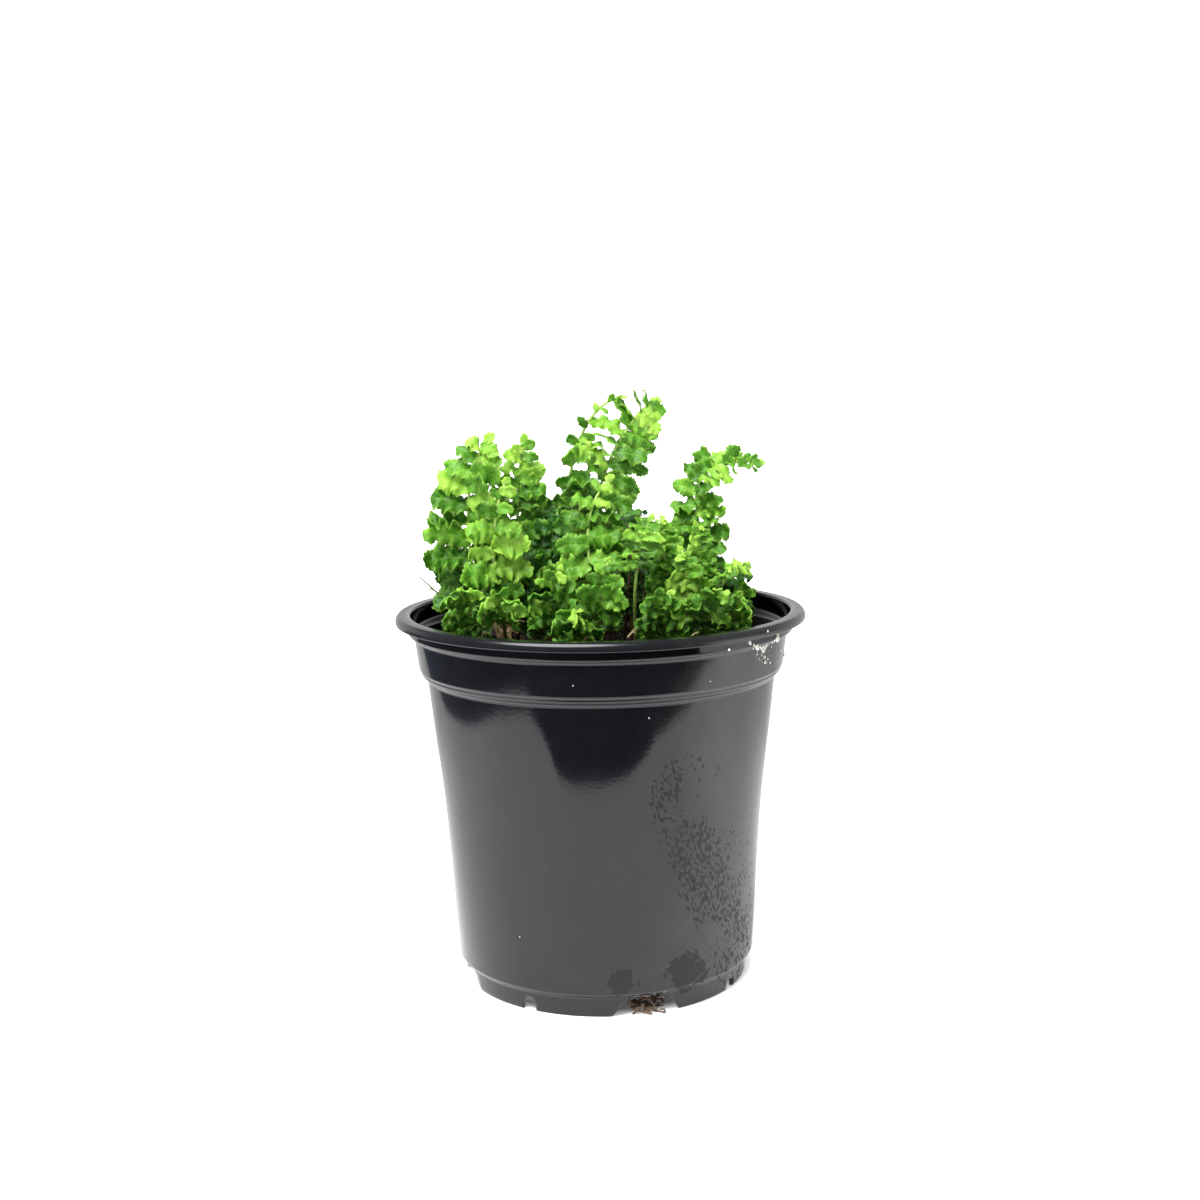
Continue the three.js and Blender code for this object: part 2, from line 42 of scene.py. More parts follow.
# ---------------------------------------------------------------------------
# Camera. It stands in front of the plant at about rim height plus a hand's
# breadth, looks slightly down on it, and was held a degree off level.
# ---------------------------------------------------------------------------
EYE = Vector((0.0, -0.671, 0.2535))
LOOK_DOWN = math.radians(8.49)
TILT = math.radians(-0.97)
LENS_MM = 50.35

eye_data = bpy.data.cameras.new("eye")
eye_data.lens = LENS_MM
eye_data.sensor_width = 36.0
eye_data.clip_start = 0.01
eye = bpy.data.objects.new("eye", eye_data)
aim = Matrix.Rotation(math.pi / 2 - LOOK_DOWN, 4, "X") @ Matrix.Rotation(TILT, 4, "Z")
eye.matrix_world = Matrix.Translation(EYE) @ aim
scene.collection.objects.link(eye)
scene.camera = eye

# ---------------------------------------------------------------------------
# Ground and light. A white table under one large soft lamp, in a room that is
# dark in front and to the left, which only the glossy pot mirrors. The table also
# glows a little, a painted light, and its glow stops under the pot, a painted shade.
# ---------------------------------------------------------------------------
TABLE_REACH = 3.0
# Painted light: the glow of the table, and of the dim floor behind it, though neither is a lamp.
TABLE_GLOW = 0.7
# Painted shade under the pot: there the table's painted glow fades out, between these distances.
POT_SHADE = (0.050, 0.062)  # from the pot's middle: the table doesn't glow under the pot
ROOM_LIGHT = 0.25
# The outline (x, y) of the dark floor in front, whose mirror image is the dark patch on the pot.
DARK_EDGE = [(-3, 2.2), (-0.42, 0.45), (-0.372, 0.28), (-0.36, 0.205), (-0.362, 0.109), (-0.356, 0.034),
             (-0.349, -0.028), (-0.34, -0.089), (-0.324, -0.143), (-0.285, -0.205), (-0.265, -0.227),
             (-0.24, -0.248), (-0.212, -0.253), (-0.187, -0.254), (-0.159, -0.247), (-0.131, -0.232),
             (-0.109, -0.223), (-0.082, -0.226), (-0.033, -0.236), (0.017, -0.24), (0.069, -0.24),
             (0.111, -0.248), (0.164, -0.26), (0.233, -0.239), (0.289, -0.207), (0.345, -0.186),
             (0.394, -0.141), (0.5, -0.3), (3, -2.4), (-3, -3)]


def put(tree, kind, sockets=(), **settings):
    """Adds one shader node. Sockets are set to values, or linked where another socket is given."""
    made = tree.nodes.new(kind)
    for name, value in settings.items():
        setattr(made, name, value)
    for name, value in dict(sockets).items():
        if isinstance(value, bpy.types.NodeSocket):
            tree.links.new(value, made.inputs[name])
        else:
            made.inputs[name].default_value = value
    return made


def new_material(name):
    """A material with its Principled shader linked to the output; gives the material, tree and shader."""
    made = bpy.data.materials.new(name)
    made.use_nodes = True
    tree = made.node_tree
    tree.nodes.clear()
    shader = put(tree, "ShaderNodeBsdfPrincipled")
    put(tree, "ShaderNodeOutputMaterial", {"Surface": shader.outputs["BSDF"]})
    return made, tree, shader


def ramp(tree, value, *stops):
    """A colour ramp from (place, grey or colour) stops."""
    made = put(tree, "ShaderNodeValToRGB", {"Fac": value})
    elements = made.color_ramp.elements
    while len(elements) < len(stops):
        elements.new(0.5)
    for element, (place, colour) in zip(elements, stops):
        element.position = place
        element.color = (*colour, 1.0) if hasattr(colour, "__len__") else (colour, colour, colour, 1.0)
    return made.outputs["Color"]


def math_of(tree, kind, first, second=0.0, third=0.0, clamp=False):
    """One arithmetic step between values or sockets."""
    made = put(tree, "ShaderNodeMath", {0: first, 1: second, 2: third}, operation=kind, use_clamp=clamp)
    return made.outputs[0]


def between(tree, value, low, high, start=0.0, end=1.0):
    """A value carried from one range to another and held there."""
    made = put(tree, "ShaderNodeMapRange", {"Value": value, 1: low, 2: high, 3: start, 4: end})
    return made.outputs[0]


def add_object(name, mesh_source, materials):
    """A finished bmesh as an object at the origin, smooth but for its sharp edges."""
    mesh = bpy.data.meshes.new(name)
    mesh_source.to_mesh(mesh)
    mesh_source.free()
    mesh.shade_smooth()
    mesh.set_sharp_from_angle(angle=math.radians(40))
    for each in materials:
        mesh.materials.append(each)
    made = bpy.data.objects.new(name, mesh)
    scene.collection.objects.link(made)
    return made


table_paint, tree, shader = new_material("white_table")
place = put(tree, "ShaderNodeTexCoord").outputs["Object"]
cloud = put(tree, "ShaderNodeTexNoise", {"Vector": place, "Scale": 5.0}).outputs[0]
white = ramp(tree, cloud, (0.3, (0.88, 0.88, 0.875)), (0.7, (0.9, 0.9, 0.9)))
tree.links.new(white, shader.inputs["Base Color"])
shader.inputs["Roughness"].default_value = 0.7
# Painted light and shade: the table glows, and the glow fades out under the pot.
from_pot = put(tree, "ShaderNodeVectorMath", {0: place}, operation="LENGTH").outputs["Value"]
glow = ramp(tree, between(tree, from_pot, *POT_SHADE), (0.0, 0.0), (1.0, 1.0))
tree.links.new(glow, shader.inputs["Emission Color"])
shader.inputs["Emission Strength"].default_value = TABLE_GLOW
sheet = bmesh.new()
bmesh.ops.create_grid(sheet, x_segments=1, y_segments=1, size=TABLE_REACH)
add_object("table", sheet, [table_paint])

# Sheets that only the pot's gloss sees, a painted reflection: the dark floor in front, darker towards the
# right, and behind it a dim floor that glows, a painted light, brightest near the pot and fading towards the
# back.
room_paint, tree, shader = new_material("dark_room")
place = put(tree, "ShaderNodeTexCoord").outputs["Object"]
aside = put(tree, "ShaderNodeSeparateXYZ", {"Vector": place}).outputs["X"]
dim = ramp(tree, between(tree, aside, -0.45, -0.15), (0.0, (0.03, 0.04, 0.06)), (1.0, (0.006, 0.007, 0.012)))
tree.links.new(dim, shader.inputs["Base Color"])
shader.inputs["Roughness"].default_value = 0.9
sheet = bmesh.new()
sheet.faces.new([sheet.verts.new((x, y, 0.0005)) for x, y in DARK_EDGE])

# Painted light: this floor glows, and only the pot mirrors it.
dim_paint, tree, shader = new_material("glowing_floor_reflection")
place = put(tree, "ShaderNodeTexCoord").outputs["Object"]
back = put(tree, "ShaderNodeSeparateXYZ", {"Vector": place}).outputs["Y"]
fade = between(tree, back, -0.05, 0.3)
tree.links.new(ramp(tree, fade, (0.0, 0.85), (0.35, 0.6), (1.0, 0.35)), shader.inputs["Base Color"])
tree.links.new(ramp(tree, fade, (0.0, 0.95), (0.35, 0.6), (1.0, 0.2)), shader.inputs["Emission Color"])
shader.inputs["Emission Strength"].default_value = TABLE_GLOW
shader.inputs["Roughness"].default_value = 0.9
back_sheet = bmesh.new()
bmesh.ops.create_grid(back_sheet, x_segments=1, y_segments=1, size=TABLE_REACH,
                      matrix=Matrix.Translation((0, TABLE_REACH - 0.08, 0.0003)))
for room in (add_object("dark_floor", sheet, [room_paint]), add_object("dim_floor", back_sheet, [dim_paint])):
    room.visible_camera = False
    room.visible_diffuse = False
    room.visible_shadow = False

sky = bpy.data.worlds.new("soft_white")
sky.use_nodes = True
tree = sky.node_tree
backdrop = tree.nodes["Background"]
backdrop.inputs["Color"].default_value = (1.0, 1.0, 1.0, 1.0)
rays = put(tree, "ShaderNodeLightPath")
aim_of_ray = put(tree, "ShaderNodeTexCoord").outputs["Generated"]
_, backwards, upwards = put(tree, "ShaderNodeSeparateXYZ", {"Vector": aim_of_ray}).outputs
white_wall = between(tree, upwards, 0.5, 0.3, ROOM_LIGHT, 0.9)
sweep = math_of(tree, "MULTIPLY", between(tree, backwards, 0.1, 0.5), white_wall)
sweep = math_of(tree, "MAXIMUM", sweep, ROOM_LIGHT)
strength = math_of(tree, "MULTIPLY_ADD", rays.outputs["Is Camera Ray"], 1.0, sweep)
tree.links.new(strength, backdrop.inputs["Strength"])
scene.world = sky
scene.view_settings.view_transform = "Standard"

lamp = bpy.data.lights.new("overhead", "SUN")
lamp.energy = 7.2
lamp.angle = math.radians(46)
overhead = bpy.data.objects.new("overhead", lamp)
overhead.matrix_world = Vector((-0.35, -0.45, 1.0)).to_track_quat("Z", "Y").to_matrix().to_4x4()
scene.collection.objects.link(overhead)

# ---------------------------------------------------------------------------
# Pot. One injection-moulded piece of black plastic: a rolled flange, a short
# neck, a stacking collar, a tapering wall, and a floor on a notched foot ring.
# ---------------------------------------------------------------------------
POT_HEIGHT = 0.150
RIM_RADIUS = 0.0825
MOUTH_RADIUS = 0.0764
LIP_DEPTH = 0.0036
NECK_RADIUS = 0.0776
SHELL = 0.0013
FLOOR_UNDER = 0.0079
FLOOR_TOP = 0.0095
FOOT_RADIUS = 0.0578
POT_STEPS = 144


def curve_through(points, steps):
    """A smooth line through a row of points, with so many steps between each two."""
    points = [Vector(point) for point in points]
    path = []
    for k in range(len(points) - 1):
        a, b, c, d = (points[max(0, min(len(points) - 1, k + j))] for j in (-1, 0, 1, 2))
        for step in range(steps):
            t = step / steps
            path.append((b * 2 + (c - a) * t + (a * 2 - b * 5 + c * 4 - d) * t * t
                         + (b * 3 - a - c * 3 + d) * t ** 3) / 2)
    return path + [points[-1]]


def rounded(points, radius, steps=3):
    """A (radius, height) outline with small arcs for its sharp corners and a held ring beside each arc."""
    path = [points[0]]
    for before, corner, after in zip(points, points[1:], points[2:]):
        to_before = Vector(before) - Vector(corner)
        to_after = Vector(after) - Vector(corner)
        if math.pi - to_before.angle(to_after) < math.radians(6):
            path.append(corner)
            continue
        reach = min(radius, to_before.length * 0.4, to_after.length * 0.4)
        start = Vector(corner) + to_before.normalized() * reach
        end = Vector(corner) + to_after.normalized() * reach
        path.append(tuple(start + to_before.normalized() * reach * 0.2))
        for k in range(steps + 1):
            t = k / steps
            path.append(tuple(start * (1 - t) ** 2 + Vector(corner) * 2 * t * (1 - t) + end * t ** 2))
        path.append(tuple(end + to_after.normalized() * reach * 0.2))
    path.append(points[-1])
    return path


def turned(profile, steps):
    """A body turned about the Z axis from a (radius, height) profile that starts and ends on the axis."""
    body = bmesh.new()
    last = None
    edges = []
    for radius, height in profile:
        point = body.verts.new((0, -radius, height))
        if last:
            edges.append(body.edges.new((last, point)))
        last = point
    bmesh.ops.spin(body, geom=body.verts[:] + edges, axis=(0, 0, 1), cent=(0, 0, 0), angle=math.tau,
                   steps=steps, use_merge=True)
    bmesh.ops.remove_doubles(body, verts=body.verts, dist=1e-6)
    bmesh.ops.recalc_face_normals(body, faces=body.faces)
    return body


wall_out = curve_through([(0.0607, 0.0096), (0.0619, 0.030), (0.0634, 0.055), (0.0654, 0.080),
                          (0.0682, 0.1040), (0.0704, 0.1244)], 5)
outside = [(0.0, FLOOR_UNDER), (FOOT_RADIUS - 0.0019, FLOOR_UNDER), (FOOT_RADIUS - 0.0019, 0.0),
           (FOOT_RADIUS - 0.0003, 0.0), (FOOT_RADIUS, 0.0016), (FOOT_RADIUS + 0.0003, FLOOR_UNDER),
           *wall_out, (0.0727, 0.1262), (0.0729, 0.1275), (0.0735, 0.1282), (0.0752, 0.1413),
           (NECK_RADIUS, 0.1423), (NECK_RADIUS, POT_HEIGHT - SHELL), (RIM_RADIUS - SHELL, POT_HEIGHT - SHELL),
           (RIM_RADIUS - SHELL, POT_HEIGHT - LIP_DEPTH), (RIM_RADIUS - 0.0001, POT_HEIGHT - LIP_DEPTH),
           (RIM_RADIUS, POT_HEIGHT - 0.0015), (RIM_RADIUS - 0.0012, POT_HEIGHT), (MOUTH_RADIUS, POT_HEIGHT)]
inside = [(MOUTH_RADIUS - 0.0002, 0.1424), (0.0738, 0.1412), (0.0722, 0.1282), (0.0691, 0.1244),
          (0.0641, 0.080), (0.0594, FLOOR_TOP), (0.0, FLOOR_TOP)]
pot_body = turned(rounded(outside + inside, 0.0009), POT_STEPS)


def drain_cutter(shape, inner, outer, turn):
    """A flat (x, height) outline pushed outwards through the foot ring, at an angle from the front."""
    cutter = bmesh.new()
    face = cutter.faces.new([cutter.verts.new((x, -inner, height)) for x, height in shape])
    made = bmesh.ops.extrude_face_region(cutter, geom=[face])["geom"]
    moved = [each for each in made if isinstance(each, bmesh.types.BMVert)]
    bmesh.ops.translate(cutter, vec=(0, inner - outer, 0), verts=moved)
    bmesh.ops.rotate(cutter, verts=cutter.verts, matrix=Matrix.Rotation(math.radians(turn), 3, "Z"))
    bmesh.ops.recalc_face_normals(cutter, faces=cutter.faces)
    return cutter


DRAIN_TURN = 15.6
DRAIN = [(-0.0148, -0.001), (0.0142, -0.001), (0.0096, 0.006), (0.0076, 0.0081), (-0.0066, 0.0081),
         (-0.0082, 0.006)]
VENT_TURN = 58.6
VENT = [(-0.003, -0.001), (0.003, -0.001), (0.003, 0.0028), (0.0022, 0.0038), (0.0, 0.0042),
        (-0.0022, 0.0038), (-0.003, 0.0028)]
HOLE_RADIUS = 0.0055
HOLE_REACH = 0.0468
cutters = bmesh.new()
for quarter in range(4):
    for shape, turn in ((DRAIN, DRAIN_TURN), (VENT, VENT_TURN)):
        cutter = drain_cutter(shape, FOOT_RADIUS - 0.005, FOOT_RADIUS + 0.004, turn + 90 * quarter)
        holder = bpy.data.meshes.new("cutter")
        cutter.to_mesh(holder)
        cutters.from_mesh(holder)
        cutter.free()
    hole = Matrix.Translation((0, -HOLE_REACH, (FLOOR_UNDER + FLOOR_TOP) / 2))
    hole = Matrix.Rotation(math.radians(DRAIN_TURN + 90 * quarter), 4, "Z") @ hole
    bmesh.ops.create_cone(cutters, cap_ends=True, segments=24, radius1=HOLE_RADIUS, radius2=HOLE_RADIUS,
                          depth=0.006, matrix=hole)


SPLASH_EDGE = (0.36, 0.045)  # the dried splash starts where x + 0.36 z passes 45 mm
SPLASH_LEAN = math.radians(-28)
SPLASH_TOP = 0.110
BLOTS = [((0.0055, 0.0155), 0.0095), ((0.0315, 0.0155), 0.0135)]  # middle (x, z) and reach
# Painted highlights: pale lines along the ledges and chamfers, where these faces catch the light or mirror
# the white floor.
LEDGE_HIGHLIGHTS = [(0.1279, 0.0005, 0.7), (0.1247, 0.0004, 0.8), (0.1416, 0.0005, 0.8)]  # height, width and strength of a painted highlight
# The pale grey of the painted ledge highlights and of the dust on the lip.
PALE_DUST_AND_HIGHLIGHT = (0.028, 0.03, 0.033, 1.0)
# Painted shade: the near black painted on the neck, which lies in the shadow of the lip.
PAINTED_NECK_SHADE = (0.0006, 0.0007, 0.001, 1.0)
DRIED_MARK = (0.0022, 0.0022, 0.003, 1.0)


def mixed(tree, factor, first, second):
    """The colour between two colours or sockets, by a factor or mask."""
    return put(tree, "ShaderNodeMix", {0: factor, 6: first, 7: second}, data_type="RGBA").outputs[2]


def splash_marks(tree, place, across, height):
    """Where splashes dried on: fine spots in a slanting band on the right, and two blotches at the foot."""
    slanted = put(tree, "ShaderNodeMapping", {"Vector": place, "Rotation": (0.0, SPLASH_LEAN, 0.0),
                                              "Scale": (1.0, 1.0, 2.2)}, vector_type="TEXTURE").outputs[0]
    drops = put(tree, "ShaderNodeTexNoise", {"Vector": slanted, "Scale": 900.0, "Detail": 2.0}).outputs[0]
    patches = put(tree, "ShaderNodeTexNoise", {"Vector": slanted, "Scale": 90.0, "Detail": 2.0}).outputs[0]
    edge = math_of(tree, "MULTIPLY_ADD", height, SPLASH_EDGE[0], across)
    edge = math_of(tree, "SUBTRACT", edge, SPLASH_EDGE[1])
    band = math_of(tree, "MULTIPLY", between(tree, edge, -0.003, 0.004), between(tree, edge, 0.045, 0.018))
    upper = math_of(tree, "MULTIPLY_ADD", edge, -1.2, height)
    band = math_of(tree, "MULTIPLY", band, between(tree, upper, 0.090, 0.080))
    band = math_of(tree, "MULTIPLY", band, between(tree, height, SPLASH_TOP, SPLASH_TOP - 0.012))
    band = math_of(tree, "MULTIPLY", band, between(tree, patches, 0.3, 0.52))
    band = math_of(tree, "POWER", band, 0.5)
    wet = math_of(tree, "MULTIPLY_ADD", band, 0.4, drops)
    marks = between(tree, wet, 0.89, 0.92)

    ragged = put(tree, "ShaderNodeTexNoise", {"Vector": place, "Scale": 330.0, "Detail": 5.0}).outputs[0]
    centred = put(tree, "ShaderNodeCombineXYZ", {"X": across, "Z": height}).outputs[0]
    for (x, z), reach in BLOTS:
        away = put(tree, "ShaderNodeVectorMath", {0: centred, 1: (x, 0.0, z)}, operation="DISTANCE")
        ring = between(tree, away.outputs["Value"], reach, reach * 0.3, 0.0, 0.5)
        blot = between(tree, math_of(tree, "ADD", ring, ragged), 0.79, 0.83)
        marks = math_of(tree, "MAXIMUM", marks, blot)
    return marks


def make_pot_plastic():
    """Glossy black plastic: a thin film of dust, paler to the right and on the lip, painted highlights on the
    ledges, painted shade on the neck, and marks of dried splashes.
    """
    made, tree, shader = new_material("black_pot_plastic")
    place = put(tree, "ShaderNodeTexCoord").outputs["Object"]
    film = put(tree, "ShaderNodeTexNoise", {"Vector": place, "Scale": 24.0, "Detail": 6.0, "Roughness": 0.65})
    film = film.outputs[0]
    across, depth, height = put(tree, "ShaderNodeSeparateXYZ", {"Vector": place}).outputs
    front = between(tree, depth, -0.01, -0.02)
    flat = put(tree, "ShaderNodeCombineXYZ", {"X": across, "Y": depth}).outputs[0]
    out = put(tree, "ShaderNodeVectorMath", {0: flat}, operation="LENGTH").outputs["Value"]
    lip = between(tree, out, NECK_RADIUS + 0.0003, NECK_RADIUS + 0.001)
    marks = math_of(tree, "MULTIPLY", splash_marks(tree, place, across, height), front)

    # The colour grows paler towards the right side.
    paler_rightwards = math_of(tree, "MULTIPLY_ADD", between(tree, across, 0.012, 0.045), 0.5, film)
    dust = ramp(tree, paler_rightwards, (0.3, (0.0026, 0.0028, 0.0048)), (0.65, (0.0055, 0.0058, 0.007)),
                (1.0, (0.019, 0.0198, 0.0195)))
    # Painted highlights along the ledges, and real dust on the lip, in one pale grey.
    dust_and_ledge_highlights = 0.0
    for ledge, tall, share in LEDGE_HIGHLIGHTS:
        off = math_of(tree, "ABSOLUTE", math_of(tree, "SUBTRACT", height, ledge))
        dust_and_ledge_highlights = math_of(tree, "MAXIMUM", between(tree, off, tall, tall * 0.4, 0.0, share), dust_and_ledge_highlights)
    dust_and_ledge_highlights = math_of(tree, "MAXIMUM", dust_and_ledge_highlights, math_of(tree, "MULTIPLY", lip, 0.3))
    dust_and_ledge_highlights = math_of(tree, "MULTIPLY", dust_and_ledge_highlights, between(tree, film, 0.4, 0.65, 0.15, 0.45))
    # Painted shade: the neck under the lip is painted near black.
    neck = math_of(tree, "MULTIPLY", between(tree, height, 0.1421, 0.1427), between(tree, lip, 0.2, 0.0))
    colour = mixed(tree, dust_and_ledge_highlights, dust, PALE_DUST_AND_HIGHLIGHT)
    colour = mixed(tree, neck, colour, PAINTED_NECK_SHADE)
    colour = mixed(tree, marks, colour, DRIED_MARK)
    tree.links.new(colour, shader.inputs["Base Color"])
    gloss = between(tree, film, 0.3, 0.75, 0.06, 0.12)
    gloss = math_of(tree, "MULTIPLY_ADD", lip, 0.14, gloss)
    tree.links.new(math_of(tree, "MULTIPLY_ADD", marks, 0.45, gloss), shader.inputs["Roughness"])
    shader.inputs["IOR"].default_value = 1.405
    grain = put(tree, "ShaderNodeTexNoise", {"Vector": place, "Scale": 800.0, "Detail": 2.0}).outputs[0]
    relief = math_of(tree, "MULTIPLY_ADD", marks, 0.6, grain)
    bump = put(tree, "ShaderNodeBump", {"Strength": 0.06, "Distance": 0.0002, "Height": relief})
    tree.links.new(bump.outputs[0], shader.inputs["Normal"])
    return made


def work_in(made, kind, **settings):
    """Gives an object the mesh that one modifier makes of it."""
    modifier = made.modifiers.new("step", kind)
    for name, value in settings.items():
        setattr(modifier, name, value)
    bpy.context.view_layer.update()
    worked = bpy.data.meshes.new_from_object(made.evaluated_get(bpy.context.evaluated_depsgraph_get()))
    made.modifiers.clear()
    made.data = worked


pot_plastic = make_pot_plastic()
pot = add_object("nursery_pot", pot_body, [pot_plastic])
cutter_object = add_object("drain_cutters", cutters, [])
work_in(pot, "BOOLEAN", object=cutter_object, operation="DIFFERENCE", solver="EXACT")
bpy.data.objects.remove(cutter_object)
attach(pot, "root")
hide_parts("pot")

# Hard white crumbs that splashed up and dried on, most of them under the rim: turn from the front in
# degrees, height and size. The finest ones lie along a crust, a line of (turn, height).
CRUMBS = [(60.1, 143.0, 1.2), (60.6, 144.0, 0.9), (56.6, 136.5, 0.7), (57.3, 134.3, 0.85),
          (61.3, 133.1, 0.45), (52.1, 138.6, 0.5), (54.4, 140.4, 0.7), (55.2, 139.2, 0.6),
          (45.9, 143.9, 0.5), (48.9, 142.6, 0.6), (37.4, 143.3, 0.55), (70.3, 136.1, 0.6),
          (80.7, 131.8, 0.7), (49.2, 148.5, 0.4), (14.3, 119.3, 0.24), (-32.1, 30.9, 0.24),
          (33.0, 131.5, 0.25), (-8.0, 133.0, 0.18), (-20.0, 60.0, 0.14)]
CRUST = [(45, 144.2), (49, 142.3), (53, 140.8), (55.5, 139.5), (58, 141.0), (60.5, 142.8)]
# The pot's outside from the top down, as (height, radius).
POT_OUTLINE = [(149.0, 82.4), (146.4, 82.2), (145.5, 77.6), (143.0, 77.6), (141.2, 75.1), (128.2, 73.5),
               (124.4, 70.4), (114.0, 69.4), (80.0, 65.4), (40.0, 62.6), (9.6, 60.7)]


def pot_radius(height):
    """The pot's outer radius at a height, both in millimetres."""
    for (top, upper), (foot, lower) in zip(POT_OUTLINE, POT_OUTLINE[1:]):
        if foot <= height <= top:
            return lower + (upper - lower) * (height - foot) / (top - foot)
    return POT_OUTLINE[-1][1]


crumbs = bmesh.new()
draw = random.Random(21)
spots = [(*crumb, 1.0) for crumb in CRUMBS]
for _ in range(60):
    (turn, height), (next_turn, next_height) = draw.choice(list(zip(CRUST, CRUST[1:])))
    share = draw.random()
    spots.append((turn + (next_turn - turn) * share + draw.gauss(0, 0.5),
                  height + (next_height - height) * share + draw.gauss(0, 0.4), draw.uniform(0.15, 0.4), 1.9))
spots += [(draw.gauss(56, 3), draw.gauss(138, 2), draw.uniform(0.12, 0.28), 1.5) for _ in range(26)]
for turn, height, size, stretch in spots:
    around = math.radians(turn)
    radius = pot_radius(height) + size * 0.2
    squash = Matrix.Diagonal((size * stretch, size * 0.55, size * draw.uniform(0.8, 1.4), 1))
    where = Matrix.Translation((radius * math.sin(around), -radius * math.cos(around), height))
    tipped = Matrix.Rotation(around, 4, "Z") @ Matrix.Rotation(draw.uniform(-1.2, 1.2), 4, "Y")
    where = where @ tipped @ squash
    crumb = bmesh.ops.create_icosphere(crumbs, subdivisions=2, radius=1.0, matrix=where)
    for point in crumb["verts"]:
        point.co += Vector([draw.uniform(-0.16, 0.16) * size for _ in range(3)])
bmesh.ops.scale(crumbs, vec=(0.001, 0.001, 0.001), verts=crumbs.verts)
lime, tree, shader = new_material("dried_lime")
place = put(tree, "ShaderNodeTexCoord").outputs["Object"]
chalk = put(tree, "ShaderNodeTexNoise", {"Vector": place, "Scale": 900.0, "Detail": 4.0}).outputs[0]
tree.links.new(ramp(tree, chalk, (0.35, (0.42, 0.38, 0.33)), (0.65, (0.85, 0.83, 0.79))),
               shader.inputs["Base Color"])
shader.inputs["Roughness"].default_value = 0.85
bump = put(tree, "ShaderNodeBump", {"Strength": 0.6, "Distance": 0.0003, "Height": chalk})
tree.links.new(bump.outputs[0], shader.inputs["Normal"])
lime_crumbs = add_object("lime_crumbs", crumbs, [lime])
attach(lime_crumbs, "root")

# ---------------------------------------------------------------------------
# Potting mix. Dark peat pressed into the pot by watering, with crumbs, chips of
# bark and white grains of perlite lying loose on it.
# ---------------------------------------------------------------------------
SOIL_EDGE = 0.1326
SOIL_MOUND = 0.0032
SOIL_RADIUS = 0.0718


def soil_height(x, y):
    """The height of the mix, which is mounded and lumpy."""
    radius = math.hypot(x, y) / SOIL_RADIUS
    mound = SOIL_MOUND * (1 - radius ** 2)
    broad = noise.noise(Vector((x, y, 0.3)) * 45) * 0.0014
    fine = noise.noise(Vector((x, y, 0.7)) * 210) * 0.0007
    edge = min(1.0, max(0.0, (1 - radius) * 12))
    return SOIL_EDGE + mound + (broad + fine) * edge


soil_profile = [(0.0, FLOOR_TOP + 0.0004), (0.0588, FLOOR_TOP + 0.0004), (0.0636, 0.080), (0.0685, 0.1242),
                (0.0717, 0.1280), (SOIL_RADIUS, SOIL_EDGE)]
soil_profile += [(SOIL_RADIUS * (1 - k / 42), SOIL_EDGE + 0.0001) for k in range(1, 42)]
soil_body = turned(soil_profile + [(0.0, SOIL_EDGE + 0.0001)], 120)
for point in soil_body.verts:
    if point.co.z > SOIL_EDGE + 0.00005:
        point.co.z = soil_height(point.co.x, point.co.y)


def make_soil_material(name, dark, light, scale):
    """Crumbly matt matter, in two colours, with a rough surface."""
    made, tree, shader = new_material(name)
    place = put(tree, "ShaderNodeTexCoord").outputs["Object"]
    crumbs = put(tree, "ShaderNodeTexNoise",
                 {"Vector": place, "Scale": scale, "Detail": 8.0, "Roughness": 0.7})
    colour = ramp(tree, crumbs.outputs[0], (0.35, dark), (0.7, light))
    tree.links.new(colour, shader.inputs["Base Color"])
    shader.inputs["Roughness"].default_value = 0.9
    bump = put(tree, "ShaderNodeBump", {"Strength": 0.8, "Distance": 0.0006, "Height": crumbs.outputs[0]})
    tree.links.new(bump.outputs[0], shader.inputs["Normal"])
    return made


peat = make_soil_material("peat_mix", (0.005, 0.0032, 0.0022), (0.03, 0.018, 0.011), 420.0)
bark = make_soil_material("bark_chips", (0.03, 0.016, 0.008), (0.12, 0.07, 0.038), 300.0)
perlite = make_soil_material("perlite", (0.33, 0.31, 0.27), (0.6, 0.58, 0.54), 500.0)
straw = make_soil_material("dry_straw", (0.12, 0.08, 0.035), (0.42, 0.33, 0.16), 260.0)
soil = add_object("potting_mix", soil_body, [peat])
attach(soil, "root")
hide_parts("soil")


def scatter(name, count, sizes, stretch, material, seed, inner=0.0):
    """Loose lumps lying on the mix, each a small rough ball, stretched and turned its own way."""
    draw = random.Random(seed)
    lumps = bmesh.new()
    for _ in range(count):
        radius = SOIL_RADIUS * math.sqrt(draw.uniform(inner, 0.93))
        turn = draw.uniform(0, math.tau)
        x, y = radius * math.cos(turn), radius * math.sin(turn)
        size = draw.uniform(*sizes) * draw.uniform(0.5, 1.0)
        spin = Quaternion(Vector([draw.uniform(-1, 1) for _ in range(3)]), draw.uniform(0, math.tau))
        squash = Matrix.Diagonal((size * draw.uniform(1, stretch), size, size * draw.uniform(0.5, 0.9), 1))
        place = Matrix.Translation((x, y, soil_height(x, y) + size * 0.2))
        lump = bmesh.ops.create_icosphere(lumps, subdivisions=1, radius=1.0,
                                          matrix=place @ spin.to_matrix().to_4x4() @ squash)
        for point in lump["verts"]:
            point.co += Vector([draw.uniform(-0.18, 0.18) * size for _ in range(3)])
    made = add_object(name, lumps, [material])
    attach(made, "root")


scatter("peat_crumbs", 1400, (0.0006, 0.0017), 1.6, peat, 3)
scatter("bark_bits", 260, (0.0009, 0.0024), 2.6, bark, 5)
scatter("perlite_grains", 70, (0.0006, 0.0014), 1.3, perlite, 8)

